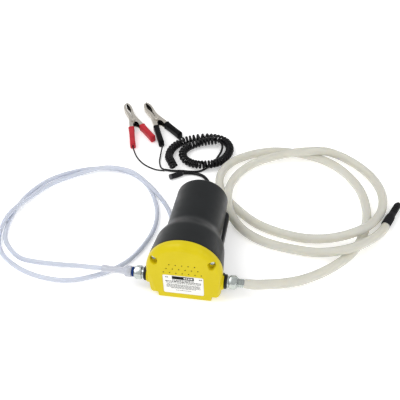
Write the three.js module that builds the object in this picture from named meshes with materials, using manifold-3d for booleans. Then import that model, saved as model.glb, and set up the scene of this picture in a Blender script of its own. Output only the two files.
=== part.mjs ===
// A small 12 V fluid transfer pump: gear pump and motor in one housing, two hoses, a curly lead and
// two battery clamps, all lying on one flat surface. Millimetres, +Z up, -Y towards the yellow cap.
// The origin is under the middle of the pump, on the surface that it stands on.
import * as THREE from 'three';
import { mergeVertices } from 'three/addons/utils/BufferGeometryUtils.js';
import Module from 'manifold-3d';

const wasm = await Module();
wasm.setup();

// ---------- driving dimensions ----------
const PUMP_LENGTH = 138;
const FRONT = -PUMP_LENGTH / 2; // flat face of the cap
const REAR = PUMP_LENGTH / 2; // back of the motor housing
const AXIS_Z = 41.5; // height of the motor's axis
const DRUM_R = 46; // front drum where the cap meets the housing
const SHOULDER_R = 42.5; // drum where the shoulder cone begins
const BARREL_R = 34.6; // motor barrel just behind the cone
const BARREL_REAR_R = 33.4;
const REAR_FILLET = 4;
const SEAM_Y = FRONT + 12.6; // joint between cap and housing, and the ports' axis
const SHOULDER_Y = FRONT + 46;
const CONE_END_Y = FRONT + 66;
const WALL = 2.6;
const GAP = 0.3; // clearance between pieces that touch
const FOOT_Z = 7; // height of the ears above the surface
const FOOT_HALF = 33; // half width of the central foot

const PORT_Z = 24.5; // height of both hose ports
const PORT_R = 5.8; // outside of the port nipples
const PORT_BORE_R = 3.6;
const NUT_START = 53.5;
const NUT_END = 62.8;

const GEAR_TEETH = 12;
const GEAR_MODULE = 1.4;
const GEAR_SPACING = GEAR_TEETH * GEAR_MODULE;
const DRIVEN_Z = AXIS_Z - GEAR_SPACING;
const SHAFT_R = 3;

const HOSE_D = 12;
const TUBE_D = 6;
const LEAD_D = 4.8;
const CURL_D = 13;
const TAIL_D = 3.4;
const WIRE_D = 2.2;

// ---------- materials ----------
function material(name, color, roughness, metalness) {
  return new THREE.MeshStandardMaterial({ name, color, roughness, metalness });
}
const yellowPlastic = material('yellow_plastic', 0xe6cf2e, 0.4, 0);
const blackPlastic = material('black_plastic', 0x2c2f33, 0.5, 0);
const labelFilm = material('label', 0xf0f0ec, 0.4, 0);
const zincSteel = material('zinc_steel', 0xb9c2cc, 0.3, 1);
const nickelSteel = material('nickel_steel', 0xc9c0b4, 0.35, 1);
const castAluminium = material('cast_aluminium', 0x9da0a3, 0.5, 1);
const gearSteel = material('gear_steel', 0x8d9196, 0.35, 1);
const bronze = material('bronze', 0xa8814e, 0.45, 1);
const copper = material('copper', 0xb3693a, 0.4, 1);
const magnetBlack = material('magnet', 0x3a3a3c, 0.7, 0);
const blackRubber = material('black_rubber', 0x1a1b1d, 0.7, 0);
const blueRubber = material('blue_rubber', 0x2f4f8f, 0.6, 0);
const creamHose = material('cream_hose', 0xe2ddca, 0.35, 0);
const clearTube = material('clear_tube', 0xd0d6e8, 0.25, 0);
const blackCord = material('black_cord', 0x141416, 0.35, 0);
const redSleeve = material('red_sleeve', 0xcd3741, 0.45, 0);
const blackSleeve = material('black_sleeve', 0x17181a, 0.45, 0);
const springSteel = material('spring_steel', 0x26262a, 0.4, 1);

// ---------- helpers ----------
const pump = new THREE.Group();

function addPart(name, geometry, look, parent = pump) {
  const mesh = new THREE.Mesh(geometry, look);
  mesh.name = name;
  parent.add(mesh);
  return mesh;
}

function toSolid(geometry) {
  const bare = geometry.clone();
  bare.deleteAttribute('normal');
  bare.deleteAttribute('uv');
  const merged = mergeVertices(bare, 1e-4);
  const vertProperties = Float32Array.from(merged.attributes.position.array);
  const triVerts = Uint32Array.from(merged.index.array);
  return new wasm.Manifold(new wasm.Mesh({ numProp: 3, vertProperties, triVerts }));
}

function toGeometry(solid) {
  const mesh = solid.getMesh();
  const geometry = new THREE.BufferGeometry();
  geometry.setAttribute('position', new THREE.BufferAttribute(mesh.vertProperties, 3));
  geometry.setIndex(new THREE.BufferAttribute(mesh.triVerts, 1));
  geometry.computeVertexNormals();
  return geometry;
}

function box(xs, ys, zs) {
  const geometry = new THREE.BoxGeometry(xs[1] - xs[0], ys[1] - ys[0], zs[1] - zs[0]);
  return geometry.translate((xs[0] + xs[1]) / 2, (ys[0] + ys[1]) / 2, (zs[0] + zs[1]) / 2);
}

// A profile of [radius, y] points turned about the Y axis, then moved to x, z.
// Outer walls run towards +Y. A ring's profile comes back down its bore to where it began.
function turned(profile, x = 0, z = 0, segments = 24) {
  const points = profile.map(([radius, y]) => new THREE.Vector2(radius, y));
  return new THREE.LatheGeometry(points, segments).translate(x, 0, z);
}

function ring(inner, outer, start, end, x = 0, z = 0, segments = 24) {
  const profile = [[inner, start], [outer, start], [outer, end], [inner, end], [inner, start]];
  return turned(profile, x, z, segments);
}

function disc(radius, start, end, x = 0, z = 0, segments = 24) {
  return turned([[0, start], [radius, start], [radius, end], [0, end]], x, z, segments);
}

// The same turned about a port's axis. Distances run outwards along X from the middle of the pump.
function turnedAlongPort(profile, side, segments = 20) {
  const geometry = turned(profile, 0, 0, segments);
  return geometry.rotateZ(-side * Math.PI / 2).translate(0, SEAM_Y, PORT_Z);
}

function portRing(inner, outer, start, end, side, segments = 20) {
  const profile = [[inner, start], [outer, start], [outer, end], [inner, end], [inner, start]];
  return turnedAlongPort(profile, side, segments);
}

// A shape drawn as x, z and extruded along +Y.
function extrudeY(shape, start, end, curveSegments = 12) {
  const depth = end - start;
  const geometry = new THREE.ExtrudeGeometry(shape, { depth, bevelEnabled: false, curveSegments });
  return geometry.rotateX(Math.PI / 2).translate(0, end, 0);
}

// A shape drawn as x, y and extruded along +Z.
function extrudeZ(shape, start, end, curveSegments = 12) {
  const depth = end - start;
  const geometry = new THREE.ExtrudeGeometry(shape, { depth, bevelEnabled: false, curveSegments });
  return geometry.translate(0, 0, start);
}

// A round hole for a shape, as a polygon.
function roundHole(radius, count) {
  const points = [];
  for (let i = 0; i < count; i += 1) {
    const angle = -2 * Math.PI * i / count;
    points.push(new THREE.Vector2(radius * Math.cos(angle), radius * Math.sin(angle)));
  }
  return new THREE.Path(points);
}

function shapeFrom(points) {
  return new THREE.Shape(points.map(([x, y]) => new THREE.Vector2(x, y)));
}

// Closed body through outlines of [x, z] points, one outline for each y, running anticlockwise
// as seen from -Y.
function loft(outlines, stations) {
  const count = outlines[0].length;
  const position = [];
  const index = [];
  outlines.forEach((outline, i) => outline.forEach(([x, z]) => position.push(x, stations[i], z)));
  for (let i = 0; i < outlines.length - 1; i += 1) {
    for (let j = 0; j < count; j += 1) {
      const a = i * count + j;
      const b = i * count + (j + 1) % count;
      index.push(a, a + count, b, b, a + count, b + count);
    }
  }
  const flat = outlines[0].map(([x, z]) => new THREE.Vector2(x, z));
  const last = (outlines.length - 1) * count;
  for (const [a, b, c] of THREE.ShapeUtils.triangulateShape(flat, [])) {
    index.push(a, b, c);
    index.push(last + a, last + c, last + b);
  }
  const geometry = new THREE.BufferGeometry();
  geometry.setAttribute('position', new THREE.Float32BufferAttribute(position, 3));
  geometry.setIndex(index);
  geometry.computeVertexNormals();
  return geometry;
}

// A round tube of one diameter through points, with flat ends.
function tubeAlong(points, diameter, steps, sides) {
  const curve = new THREE.CatmullRomCurve3(points.map((p) => new THREE.Vector3(...p)), false, 'centripetal');
  const section = [];
  for (let i = 0; i < sides; i += 1) {
    const angle = (i + 0.5) * 2 * Math.PI / sides;
    section.push([Math.cos(angle) * diameter / 2, Math.sin(angle) * diameter / 2]);
  }
  return new THREE.ExtrudeGeometry(shapeFrom(section), { steps, extrudePath: curve, bevelEnabled: false });
}

// ---------- drum outline shared by cap and housing ----------
const ARC_STEPS = 22;
const EAR_CORNER = 2.5;
const SIDE_NARROWING = 2.6; // how much the side walls lean in from the axis to the ears

// Half-round top of the given radius, leaning side walls, ears and the central foot.
// edge(height) pulls the outline in, with height 1 at the top and 0 at the side walls.
function drumOutline(radius, edge, footLift) {
  const outline = [];
  for (let i = 0; i <= ARC_STEPS; i += 1) {
    const angle = Math.PI * i / ARC_STEPS;
    const r = radius - edge(Math.sin(angle));
    outline.push([-r * Math.cos(angle), AXIS_Z + r * Math.sin(angle)]);
  }
  const side = radius - SIDE_NARROWING - edge(0);
  const earZ = FOOT_Z + footLift;
  const lower = [
    [side, earZ + EAR_CORNER],
    [side - EAR_CORNER * 0.3, earZ + EAR_CORNER * 0.3],
    [side - EAR_CORNER, earZ],
    [FOOT_HALF + 1.6, earZ],
    [FOOT_HALF, earZ - 1.6],
    [FOOT_HALF - footLift, footLift],
  ];
  lower.forEach((point) => outline.push(point));
  lower.reverse().forEach(([x, z]) => outline.push([-x, z]));
  return outline.reverse();
}

// ---------- front cap ----------
const FACE_EDGE_TOP = 7.2; // depth and width of the cap's rounded rim at the top
const FACE_EDGE_SIDE = 3.2;
const CAP_BACK = SEAM_Y - GAP / 2;
const SCREW_X = 34.5;
const SCREW_Z = 62.5;
const SCREW_TOP_R = 4.6;
const SCREW_HEAD_R = 3.5;
const SCREW_HEAD_DEPTH = 1.7;
const SCREW_LENGTH = 17;
const SCREW_SHANK_R = 1.6;
const SCREW_HEAD_Y = FRONT + 4; // front of the screw heads, down in their pockets
const POCKET_TIP_HALF = 2.4;
const POCKET_WALL = 1.4;
const POCKET_LENGTH = 7.6; // how far a pocket runs down from its screw
const CAP_POST_R = 6.5;
const HOUSING_POST_R = 6;
const POCKET_FLOOR = SCREW_HEAD_Y + SCREW_HEAD_DEPTH + 0.1;
const LABEL = { left: -25, right: 24, bottom: 8.5, top: 39.5, deep: 0.6 };

function capOutline(share) {
  const rounding = (height) => share * (FACE_EDGE_SIDE + (FACE_EDGE_TOP - FACE_EDGE_SIDE) * height);
  return drumOutline(DRUM_R, rounding, share * 0.8);
}

function portHole(radius) {
  return new THREE.CylinderGeometry(radius, radius, 3 * DRUM_R, 20)
    .rotateZ(Math.PI / 2).translate(0, SEAM_Y, PORT_Z);
}

function screwColumn(side, radius, start, end) {
  return disc(radius, start, end, side * SCREW_X, SCREW_Z, 20);
}

// Teardrop about a screw: round at the screw, narrowing downwards. Grown, it is the wall around the pocket.
function teardrop(side, grow, start, end) {
  const shape = new THREE.Shape();
  shape.absarc(0, 0, SCREW_TOP_R + grow, -0.35, Math.PI + 0.35, false);
  shape.lineTo(-side - POCKET_TIP_HALF - grow, -POCKET_LENGTH - grow);
  shape.lineTo(-side + POCKET_TIP_HALF + grow, -POCKET_LENGTH - grow);
  return extrudeY(shape, start, end, 8).translate(side * SCREW_X, 0, SCREW_Z);
}

function frontCap() {
  const rimSteps = 4;
  const outlines = [];
  const stations = [];
  for (let i = 0; i <= rimSteps; i += 1) {
    const angle = (Math.PI / 2) * i / rimSteps;
    outlines.push(capOutline(1 - Math.sin(angle)));
    stations.push(FRONT + FACE_EDGE_TOP * (1 - Math.cos(angle)));
  }
  outlines.push(capOutline(0));
  stations.push(CAP_BACK);
  let cap = toSolid(loft(outlines, stations));

  const inside = drumOutline(DRUM_R - WALL, () => 0, 0);
  const insideFace = drumOutline(DRUM_R - WALL - 4, () => 0, 0);
  const aboveFloor = box([-60, 60], [FRONT - 5, REAR + 5], [FOOT_Z + WALL, 120]);
  const stationsInside = [FRONT + WALL, FRONT + WALL + 5, SEAM_Y + 1];
  let hollow = toSolid(loft([insideFace, inside, inside], stationsInside)).intersect(toSolid(aboveFloor));
  for (const side of [-1, 1]) {
    hollow = hollow.subtract(toSolid(screwColumn(side, CAP_POST_R, FRONT, SEAM_Y + 2)));
    hollow = hollow.subtract(toSolid(teardrop(side, POCKET_WALL, FRONT, HEAD_Y - GAP)));
    cap = cap.add(toSolid(portBoss(side, SEAM_Y - PORT_BOSS_R, CAP_BACK)));
  }
  cap = cap.subtract(hollow).subtract(toSolid(portHole(PORT_R + 0.5)));
  for (const side of [-1, 1]) {
    cap = cap.subtract(toSolid(teardrop(side, 0, FRONT - 1, POCKET_FLOOR)));
    cap = cap.subtract(toSolid(screwColumn(side, SCREW_SHANK_R + GAP, FRONT, SEAM_Y + 2)));
  }
  const recess = box(
    [LABEL.left - GAP, LABEL.right + GAP],
    [FRONT - 1, FRONT + LABEL.deep + GAP],
    [LABEL.bottom - GAP, LABEL.top + GAP],
  );
  return toGeometry(cap.subtract(toSolid(recess)));
}

function ratingLabel() {
  return box([LABEL.left, LABEL.right], [FRONT, FRONT + LABEL.deep], [LABEL.bottom, LABEL.top]);
}

function capScrew(side) {
  const seat = SCREW_HEAD_Y + SCREW_HEAD_DEPTH;
  return turned([
    [0, SCREW_HEAD_Y], [SCREW_HEAD_R - 0.9, SCREW_HEAD_Y], [SCREW_HEAD_R, SCREW_HEAD_Y + 0.7],
    [SCREW_HEAD_R, seat], [SCREW_SHANK_R, seat], [SCREW_SHANK_R, seat + SCREW_LENGTH - 2],
    [0, seat + SCREW_LENGTH],
  ], side * SCREW_X, SCREW_Z, 16);
}

// ---------- motor housing ----------
const PORT_BOSS_R = 10.4;
const PORT_BOSS_END = 47;
const PORT_BOSS_EDGE = 1.2;
const BASE_TOP = 20; // ledge along the motor section
const BASE_HALF = 35;
const HOUSING_FRONT = SEAM_Y + GAP / 2;
const GLAND_X = -2;
const GLAND_Z = 24;
const GLAND_R = 4.5;

// Half of the round boss where a port leaves the drum, cut at the joint between cap and housing.
function portBoss(side, start, end) {
  const inner = DRUM_R - 8;
  const boss = toSolid(turnedAlongPort(
    [[0, inner], [PORT_BOSS_R, inner], [PORT_BOSS_R, PORT_BOSS_END - PORT_BOSS_EDGE],
      [PORT_BOSS_R - PORT_BOSS_EDGE, PORT_BOSS_END], [0, PORT_BOSS_END]],
    side,
  ));
  const half = box([-2 * DRUM_R, 2 * DRUM_R], [start, end], [0, 2 * AXIS_Z]);
  return toGeometry(boss.intersect(toSolid(half)));
}

function barrelProfile(inset, start, end, filletSteps) {
  const fillet = Math.max(REAR_FILLET - inset, 1);
  const profile = [
    [0, start], [DRUM_R - inset, start], [SHOULDER_R - inset, SHOULDER_Y],
    [SHOULDER_R - 1.3 - inset, SHOULDER_Y + 3], [BARREL_R + 1.3 - inset, CONE_END_Y - 4],
    [BARREL_R - inset, CONE_END_Y],
  ];
  for (let i = 0; i <= filletSteps; i += 1) {
    const angle = (Math.PI / 2) * i / filletSteps;
    const r = BARREL_REAR_R - inset - fillet * (1 - Math.cos(angle));
    profile.push([r, end - fillet * (1 - Math.sin(angle))]);
  }
  profile.push([0, end]);
  return profile;
}

function roundedStrip(half, start, end, corner) {
  const shape = new THREE.Shape();
  shape.moveTo(-half, start);
  shape.lineTo(half, start);
  shape.lineTo(half, end - corner);
  shape.absarc(half - corner, end - corner, corner, 0, Math.PI / 2, false);
  shape.lineTo(-half + corner, end);
  shape.absarc(-half + corner, end - corner, corner, Math.PI / 2, Math.PI, false);
  return shape;
}

function motorHousing() {
  const aboveEars = box([-60, 60], [FRONT - 5, REAR + 5], [FOOT_Z, 120]);
  const barrel = turned(barrelProfile(0, HOUSING_FRONT, REAR, 3), 0, AXIS_Z, 44);
  let shell = toSolid(barrel).intersect(toSolid(aboveEars));
  const skirtRadii = [DRUM_R, SHOULDER_R, BARREL_R + 1];
  const skirtStations = [HOUSING_FRONT, SHOULDER_Y, CONE_END_Y];
  const skirt = loft(skirtRadii.map((radius) => drumOutline(radius - 0.05, () => 0, 0)), skirtStations);
  const belowAxis = box([-60, 60], [FRONT - 5, REAR + 5], [-1, AXIS_Z]);
  shell = shell.add(toSolid(skirt).intersect(toSolid(belowAxis)));
  const base = extrudeZ(roundedStrip(BASE_HALF, SHOULDER_Y, REAR, 5), FOOT_Z, BASE_TOP, 6);
  const foot = extrudeZ(roundedStrip(FOOT_HALF - 2, SHOULDER_Y, REAR - 3, 6), 0, BASE_TOP - 5, 6);
  shell = shell.add(toSolid(base)).add(toSolid(foot));

  const aboveFloor = box([-60, 60], [FRONT - 5, REAR + 5], [FOOT_Z + WALL, 120]);
  const hollowProfile = barrelProfile(WALL, HOUSING_FRONT - 1, REAR - 3.6, 1);
  let hollow = toSolid(turned(hollowProfile, 0, AXIS_Z, 32)).intersect(toSolid(aboveFloor));
  for (const side of [-1, 1]) {
    const post = screwColumn(side, HOUSING_POST_R, HOUSING_FRONT - 2, HOUSING_FRONT + 14);
    hollow = hollow.subtract(toSolid(post));
    shell = shell.add(toSolid(portBoss(side, HOUSING_FRONT, SEAM_Y + PORT_BOSS_R)));
  }
  shell = shell.subtract(hollow).subtract(toSolid(portHole(PORT_R + 0.5)));
  for (const side of [-1, 1]) {
    const hole = screwColumn(side, SCREW_SHANK_R + GAP, HOUSING_FRONT - 2, HOUSING_FRONT + 12);
    shell = shell.subtract(toSolid(hole));
  }
  shell = shell.subtract(toSolid(disc(GLAND_R + GAP, REAR - 8, REAR + 2, GLAND_X, GLAND_Z, 24)));
  return toGeometry(shell);
}

// ---------- pump head ----------
const COVER_Y = FRONT + 3.4;
const GASKET_Y = COVER_Y + 2.6;
const HEAD_Y = GASKET_Y + 1;
const GEAR_Y = HEAD_Y + 0.2;
const GEAR_WIDTH = 9;
const HEAD_END = FRONT + 24;
const HEAD_R = 32.5;
const HEAD_BOSS_R = 8;
const GEAR_BORE_R = GEAR_TEETH * GEAR_MODULE / 2 + 1.5;
const HEAD_BOTTOM = 10.4;

// Outline of two equal circles around the gears' centres, joined by straight sides.
function gearOval(radius) {
  const shape = new THREE.Shape();
  shape.absarc(0, AXIS_Z, radius, 0, Math.PI, false);
  shape.absarc(0, DRIVEN_Z, radius, Math.PI, 2 * Math.PI, false);
  return shape;
}

function pumpCover() {
  return extrudeY(gearOval(GEAR_BORE_R + 4), COVER_Y, GASKET_Y - GAP, 8);
}

function pumpGasket() {
  const shape = gearOval(GEAR_BORE_R + 4);
  shape.holes.push(new THREE.Path(gearOval(GEAR_BORE_R + 1).getPoints(8).reverse()));
  return extrudeY(shape, GASKET_Y, HEAD_Y - GAP, 8);
}

function pumpBody() {
  const keep = box([-60, 60], [FRONT, HEAD_END + 1], [HEAD_BOTTOM, 120]);
  let body = toSolid(disc(HEAD_R, HEAD_Y, HEAD_END, 0, AXIS_Z, 32)).intersect(toSolid(keep));
  const chamberEnd = GEAR_Y + GEAR_WIDTH + 0.2;
  const meshZ = (AXIS_Z + DRIVEN_Z) / 2;
  for (const side of [-1, 1]) {
    const boss = turnedAlongPort(
      [[0, 18], [HEAD_BOSS_R, 18], [HEAD_BOSS_R, HEAD_R - 1], [0, HEAD_R - 1]],
      side,
    );
    body = body.add(toSolid(boss));
  }
  for (const z of [AXIS_Z, DRIVEN_Z]) {
    body = body.subtract(toSolid(disc(GEAR_BORE_R, HEAD_Y - 1, chamberEnd, 0, z, 20)));
  }
  body = body.subtract(toSolid(disc(SHAFT_R + GAP, HEAD_Y, HEAD_END + 1, 0, AXIS_Z, 14)));
  body = body.subtract(toSolid(disc(SEAL_R + GAP, SEAL_Y - GAP, HEAD_END + 1, 0, AXIS_Z, 16)));
  body = body.subtract(toSolid(disc(GEAR_PIN_R + 0.05, HEAD_Y, HEAD_END - 2, 0, DRIVEN_Z, 12)));
  for (const side of [-1, 1]) {
    const galleryX = side > 0 ? [5, 15] : [-15, -5];
    body = body.subtract(toSolid(box(galleryX, [HEAD_Y + 1, chamberEnd], [PORT_Z, meshZ + 4])));
    const gallery = turnedAlongPort([[0, 12], [PORT_BORE_R, 12], [PORT_BORE_R, 40], [0, 40]], side, 12);
    const socketStart = NIPPLE_START - GAP;
    const socket = turnedAlongPort(
      [[0, socketStart], [PORT_R + GAP, socketStart], [PORT_R + GAP, 40], [0, 40]],
      side,
      16,
    );
    body = body.subtract(toSolid(gallery)).subtract(toSolid(socket));
  }
  return toGeometry(body);
}

const GEAR_PIN_R = 2.5;

function gearPin() {
  return disc(GEAR_PIN_R - 0.25, HEAD_Y + 0.2, HEAD_END - 2.3, 0, DRIVEN_Z, 16);
}

const SEAL_R = 6.5;
const SEAL_Y = HEAD_END - 5;

function shaftSeal() {
  return ring(SHAFT_R + GAP, SEAL_R, SEAL_Y, HEAD_END - GAP, 0, AXIS_Z, 16);
}

// Involute spur gear about Y, with its first tooth at the given angle from +X.
function spurGear(phase, boreR, z) {
  const pitchR = GEAR_TEETH * GEAR_MODULE / 2;
  const pressure = THREE.MathUtils.degToRad(20);
  const baseR = pitchR * Math.cos(pressure);
  const tipR = pitchR + 0.82 * GEAR_MODULE;
  const rootR = pitchR - 1.15 * GEAR_MODULE;
  const backlash = 0.28; // taken off each tooth's thickness on the pitch circle
  const involute = (r) => Math.sqrt((r / baseR) ** 2 - 1) - Math.acos(baseR / r);
  const halfAtPitch = (Math.PI * GEAR_MODULE / 2 - backlash) / 2 / pitchR;
  const halfAt = (r) => halfAtPitch + involute(pitchR) - involute(r);
  const flankSteps = 3;
  const outline = [];
  for (let tooth = 0; tooth < GEAR_TEETH; tooth += 1) {
    const middle = phase + tooth * 2 * Math.PI / GEAR_TEETH;
    const corners = [[rootR, middle - halfAt(baseR)]];
    for (let i = 0; i <= flankSteps; i += 1) {
      const r = baseR + (tipR - baseR) * i / flankSteps;
      corners.push([r, middle - halfAt(r)]);
    }
    for (let i = flankSteps; i >= 0; i -= 1) {
      const r = baseR + (tipR - baseR) * i / flankSteps;
      corners.push([r, middle + halfAt(r)]);
    }
    corners.push([rootR, middle + halfAt(baseR)]);
    corners.forEach(([r, angle]) => outline.push([r * Math.cos(angle), r * Math.sin(angle)]));
  }
  const shape = shapeFrom(outline);
  shape.holes.push(roundHole(boreR, 12));
  return extrudeY(shape, GEAR_Y, GEAR_Y + GEAR_WIDTH, 5).translate(0, 0, z);
}

// ---------- ports ----------
const NIPPLE_START = 24;
const NIPPLE_END = 58;
const COLLAR_R = 8.9;
const COLLAR = [PORT_BOSS_END + GAP, 50.4];
const SHOULDER_RING_R = 7.2;
const NUT_FLAT_R = 7.7;
const TAIL_R = 4.3;
const TAIL_BORE_R = 2.4;
const TAIL_FLANGE = [NIPPLE_END + GAP, NIPPLE_END + 2];
const LEFT_TAIL_END = 63.5;
const RIGHT_TAIL_END = 70.8; // the thick hose starts there
const STUB_R = 5.8; // ribbed part of the right tail between nut and hose

function portNipple(side) {
  const shoulder = [COLLAR[1] + GAP, NUT_START - GAP];
  return turnedAlongPort([
    [PORT_BORE_R, NIPPLE_START], [PORT_R, NIPPLE_START], [PORT_R, shoulder[0]],
    [SHOULDER_RING_R, shoulder[0]], [SHOULDER_RING_R, shoulder[1]], [PORT_R, shoulder[1]],
    [PORT_R, NIPPLE_END], [PORT_BORE_R, NIPPLE_END], [PORT_BORE_R, NIPPLE_START],
  ], side, 20);
}

function portCollar(side) {
  return portRing(PORT_R + GAP, COLLAR_R, COLLAR[0], COLLAR[1], side, 24);
}

// Hexagonal nut, chamfered at both ends, with a shoulder that holds the hose tail's flange.
function unionNut(side) {
  const cornerR = NUT_FLAT_R / Math.cos(Math.PI / 6);
  const hexagon = new THREE.CylinderGeometry(cornerR, cornerR, NUT_END - NUT_START, 6)
    .translate(0, (NUT_START + NUT_END) / 2, 0)
    .rotateZ(-side * Math.PI / 2).translate(0, SEAM_Y, PORT_Z);
  const chamfer = turnedAlongPort([
    [0, NUT_START], [NUT_FLAT_R + 0.3, NUT_START], [cornerR, NUT_START + 1.1],
    [cornerR, NUT_END - 1.1], [NUT_FLAT_R + 0.3, NUT_END], [0, NUT_END],
  ], side, 24);
  const bore = turnedAlongPort([
    [0, NUT_START - 1], [PORT_R + GAP, NUT_START - 1], [PORT_R + GAP, TAIL_FLANGE[1] + GAP],
    [TAIL_R + GAP, TAIL_FLANGE[1] + GAP], [TAIL_R + GAP, NUT_END + 1], [0, NUT_END + 1],
  ], side, 18);
  return toGeometry(toSolid(hexagon).intersect(toSolid(chamfer)).subtract(toSolid(bore)));
}

function hoseTail(side, end) {
  const stub = NUT_END + GAP;
  const ribs = side < 0 ? [] : [
    [TAIL_R, stub], [STUB_R, stub], [STUB_R, stub + 2], [STUB_R - 0.8, stub + 2.5],
    [STUB_R - 0.8, stub + 3.2], [STUB_R, stub + 3.7], [STUB_R, stub + 5.4], [STUB_R - 0.8, stub + 5.9],
  ];
  const outerR = side < 0 ? TAIL_R : STUB_R - 0.8;
  return turnedAlongPort([
    [TAIL_BORE_R, TAIL_FLANGE[0]], [PORT_R - 0.2, TAIL_FLANGE[0]], [PORT_R - 0.2, TAIL_FLANGE[1]],
    [TAIL_R, TAIL_FLANGE[1]], ...ribs, [outerR, end], [TAIL_BORE_R, end], [TAIL_BORE_R, TAIL_FLANGE[0]],
  ], side, 16);
}

// ---------- motor ----------
const PLATE_Y = HEAD_END + 1;
const PLATE_THICK = 3;
const CAN_Y = PLATE_Y + PLATE_THICK + GAP;
const CAN_END = REAR - 16;
const CAN_R = 30.6;
const MAGNET_R = CAN_R - 1.8 - GAP;
const ROTOR_R = 21;
const CORE_Y = CAN_Y + 14;
const CORE_END = CAN_Y + 52;
const COMMUTATOR_Y = CORE_END + 8;
const BRUSH_PLATE_Y = CAN_END + GAP;
const SHAFT_END = BRUSH_PLATE_Y + 4;

function frontPlate() {
  return ring(6 + GAP, CAN_R, PLATE_Y, PLATE_Y + PLATE_THICK, 0, AXIS_Z, 24);
}

function brushPlate() {
  return ring(6 + GAP, CAN_R - 0.4, BRUSH_PLATE_Y, BRUSH_PLATE_Y + 3, 0, AXIS_Z, 24);
}

function bush(start) {
  return ring(SHAFT_R + GAP, 6, start, start + 3, 0, AXIS_Z, 14);
}

function motorCan() {
  return ring(CAN_R - 1.8, CAN_R, CAN_Y, CAN_END, 0, AXIS_Z, 28);
}

// One of two curved magnets inside the can.
function magnet(side) {
  const shape = new THREE.Shape();
  const half = THREE.MathUtils.degToRad(62);
  const middle = side > 0 ? 0 : Math.PI;
  shape.absarc(0, 0, MAGNET_R, middle - half, middle + half, false);
  shape.absarc(0, 0, ROTOR_R + 0.8, middle + half, middle - half, true);
  return extrudeY(shape, CORE_Y - 2, CORE_END + 2, 7).translate(0, 0, AXIS_Z);
}

// Slotted steel core with its windings filling the slots.
function rotorCore() {
  const slots = 8;
  const slotHalf = 0.07;
  const shape = new THREE.Shape();
  for (let i = 0; i < slots; i += 1) {
    const start = i * 2 * Math.PI / slots + slotHalf;
    const end = (i + 1) * 2 * Math.PI / slots - slotHalf;
    shape.absarc(0, 0, ROTOR_R, start, end, false);
    shape.lineTo(Math.cos(end) * 13, Math.sin(end) * 13);
    shape.lineTo(Math.cos(end + 2 * slotHalf) * 13, Math.sin(end + 2 * slotHalf) * 13);
  }
  shape.holes.push(roundHole(SHAFT_R + GAP, 14));
  return extrudeY(shape, CORE_Y, CORE_END, 3).translate(0, 0, AXIS_Z);
}

function brush(side) {
  const x = [7 + GAP, 16].map((d) => side * d).sort((a, b) => a - b);
  return box(x, [COMMUTATOR_Y + 2, COMMUTATOR_Y + 8], [AXIS_Z - 3, AXIS_Z + 3]);
}

// ---------- thick hose ----------
const HOSE_Z = HOSE_D / 2 + 0.5; // lying on the surface
const HOSE_OVER = HOSE_Z + HOSE_D + 0.6; // crossing over itself
const HOSE_ROUTE = [
  [RIGHT_TAIL_END + GAP, SEAM_Y, PORT_Z], [76, SEAM_Y, 24.3], [85, -54.6, 22.6], [98, -48, 18.2],
  [116, -38.2, 11.8], [137, -26, 7.4], [162, -8.6, HOSE_Z], [184, 12.6, HOSE_Z], [201, 37, HOSE_Z],
  [211, 66, HOSE_Z], [215, 102, HOSE_Z], [208, 145, HOSE_Z], [194, 173, HOSE_Z], [173, 198, HOSE_Z],
  [148, 214, HOSE_Z], [114, 223, HOSE_Z], [77, 223, HOSE_Z], [45, 210, HOSE_Z], [23, 192, HOSE_Z],
  [11, 169, HOSE_Z], [10, 142, HOSE_Z], [21, 115, HOSE_Z], [45, 88, HOSE_Z], [72, 66, HOSE_Z],
  [104, 53, HOSE_Z], [140, 46, 8], [173, 46, 14], [204, 58, HOSE_OVER], [224, 86, 12],
  [235, 117, HOSE_Z], [235, 148, HOSE_Z], [220, 184, HOSE_Z], [189, 213, 9], [155, 220, 16.5],
  [118, 211, HOSE_OVER], [86, 206, 12.5], [57, 195, HOSE_Z], [37, 170, 6.8], [28, 138, 11.5],
  [28, 104, HOSE_OVER], [32, 84, 13], [42, 68, 7], [60, 48, HOSE_Z], [88, 33, HOSE_Z],
  [122, 26, HOSE_Z], [158, 20, 11.5], [192, 24, HOSE_OVER], [219, 50, 12.5], [236, 77, 6.6],
  [245.5, 102, HOSE_Z],
];

// Black angled suction end: plain tube cut off at a slant.
const STRAINER_LENGTH = 29;
function suctionEnd() {
  const body = toSolid(turned([
    [0, 0], [5.6, 0], [5.6, 2.4], [4.7, 3], [4.5, STRAINER_LENGTH - 2], [3.8, STRAINER_LENGTH],
    [0, STRAINER_LENGTH],
  ], 0, 0, 14));
  const slant = box([-12, 12], [0, 24], [-20, 20]).rotateZ(0.72).translate(-4.4, STRAINER_LENGTH - 4, 0);
  return toGeometry(body.subtract(toSolid(slant)));
}

// ---------- thin tube and its reducer ----------
const WASHER_SPAN = [LEFT_TAIL_END + GAP, LEFT_TAIL_END + GAP + 2];
const WASHER_R = 6.2;
const REDUCER_START = WASHER_SPAN[1] + 1;
const REDUCER_BORE_R = 2.6;
const REDUCER_LENGTH = 37;

// Clear reducer: a wide cup next to the nut, a cone and a long sleeve around the thin tube's end.
function reducerTube() {
  const geometry = turned([
    [REDUCER_BORE_R, 0], [6.7, 0], [6.9, 1], [6.9, 6.4], [4.3, 9.5], [4.2, 20], [4.7, REDUCER_LENGTH],
    [REDUCER_BORE_R, REDUCER_LENGTH], [REDUCER_BORE_R, 0],
  ], 0, 0, 16);
  return geometry.rotateZ(Math.PI / 2).translate(-REDUCER_START, SEAM_Y, PORT_Z);
}

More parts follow.
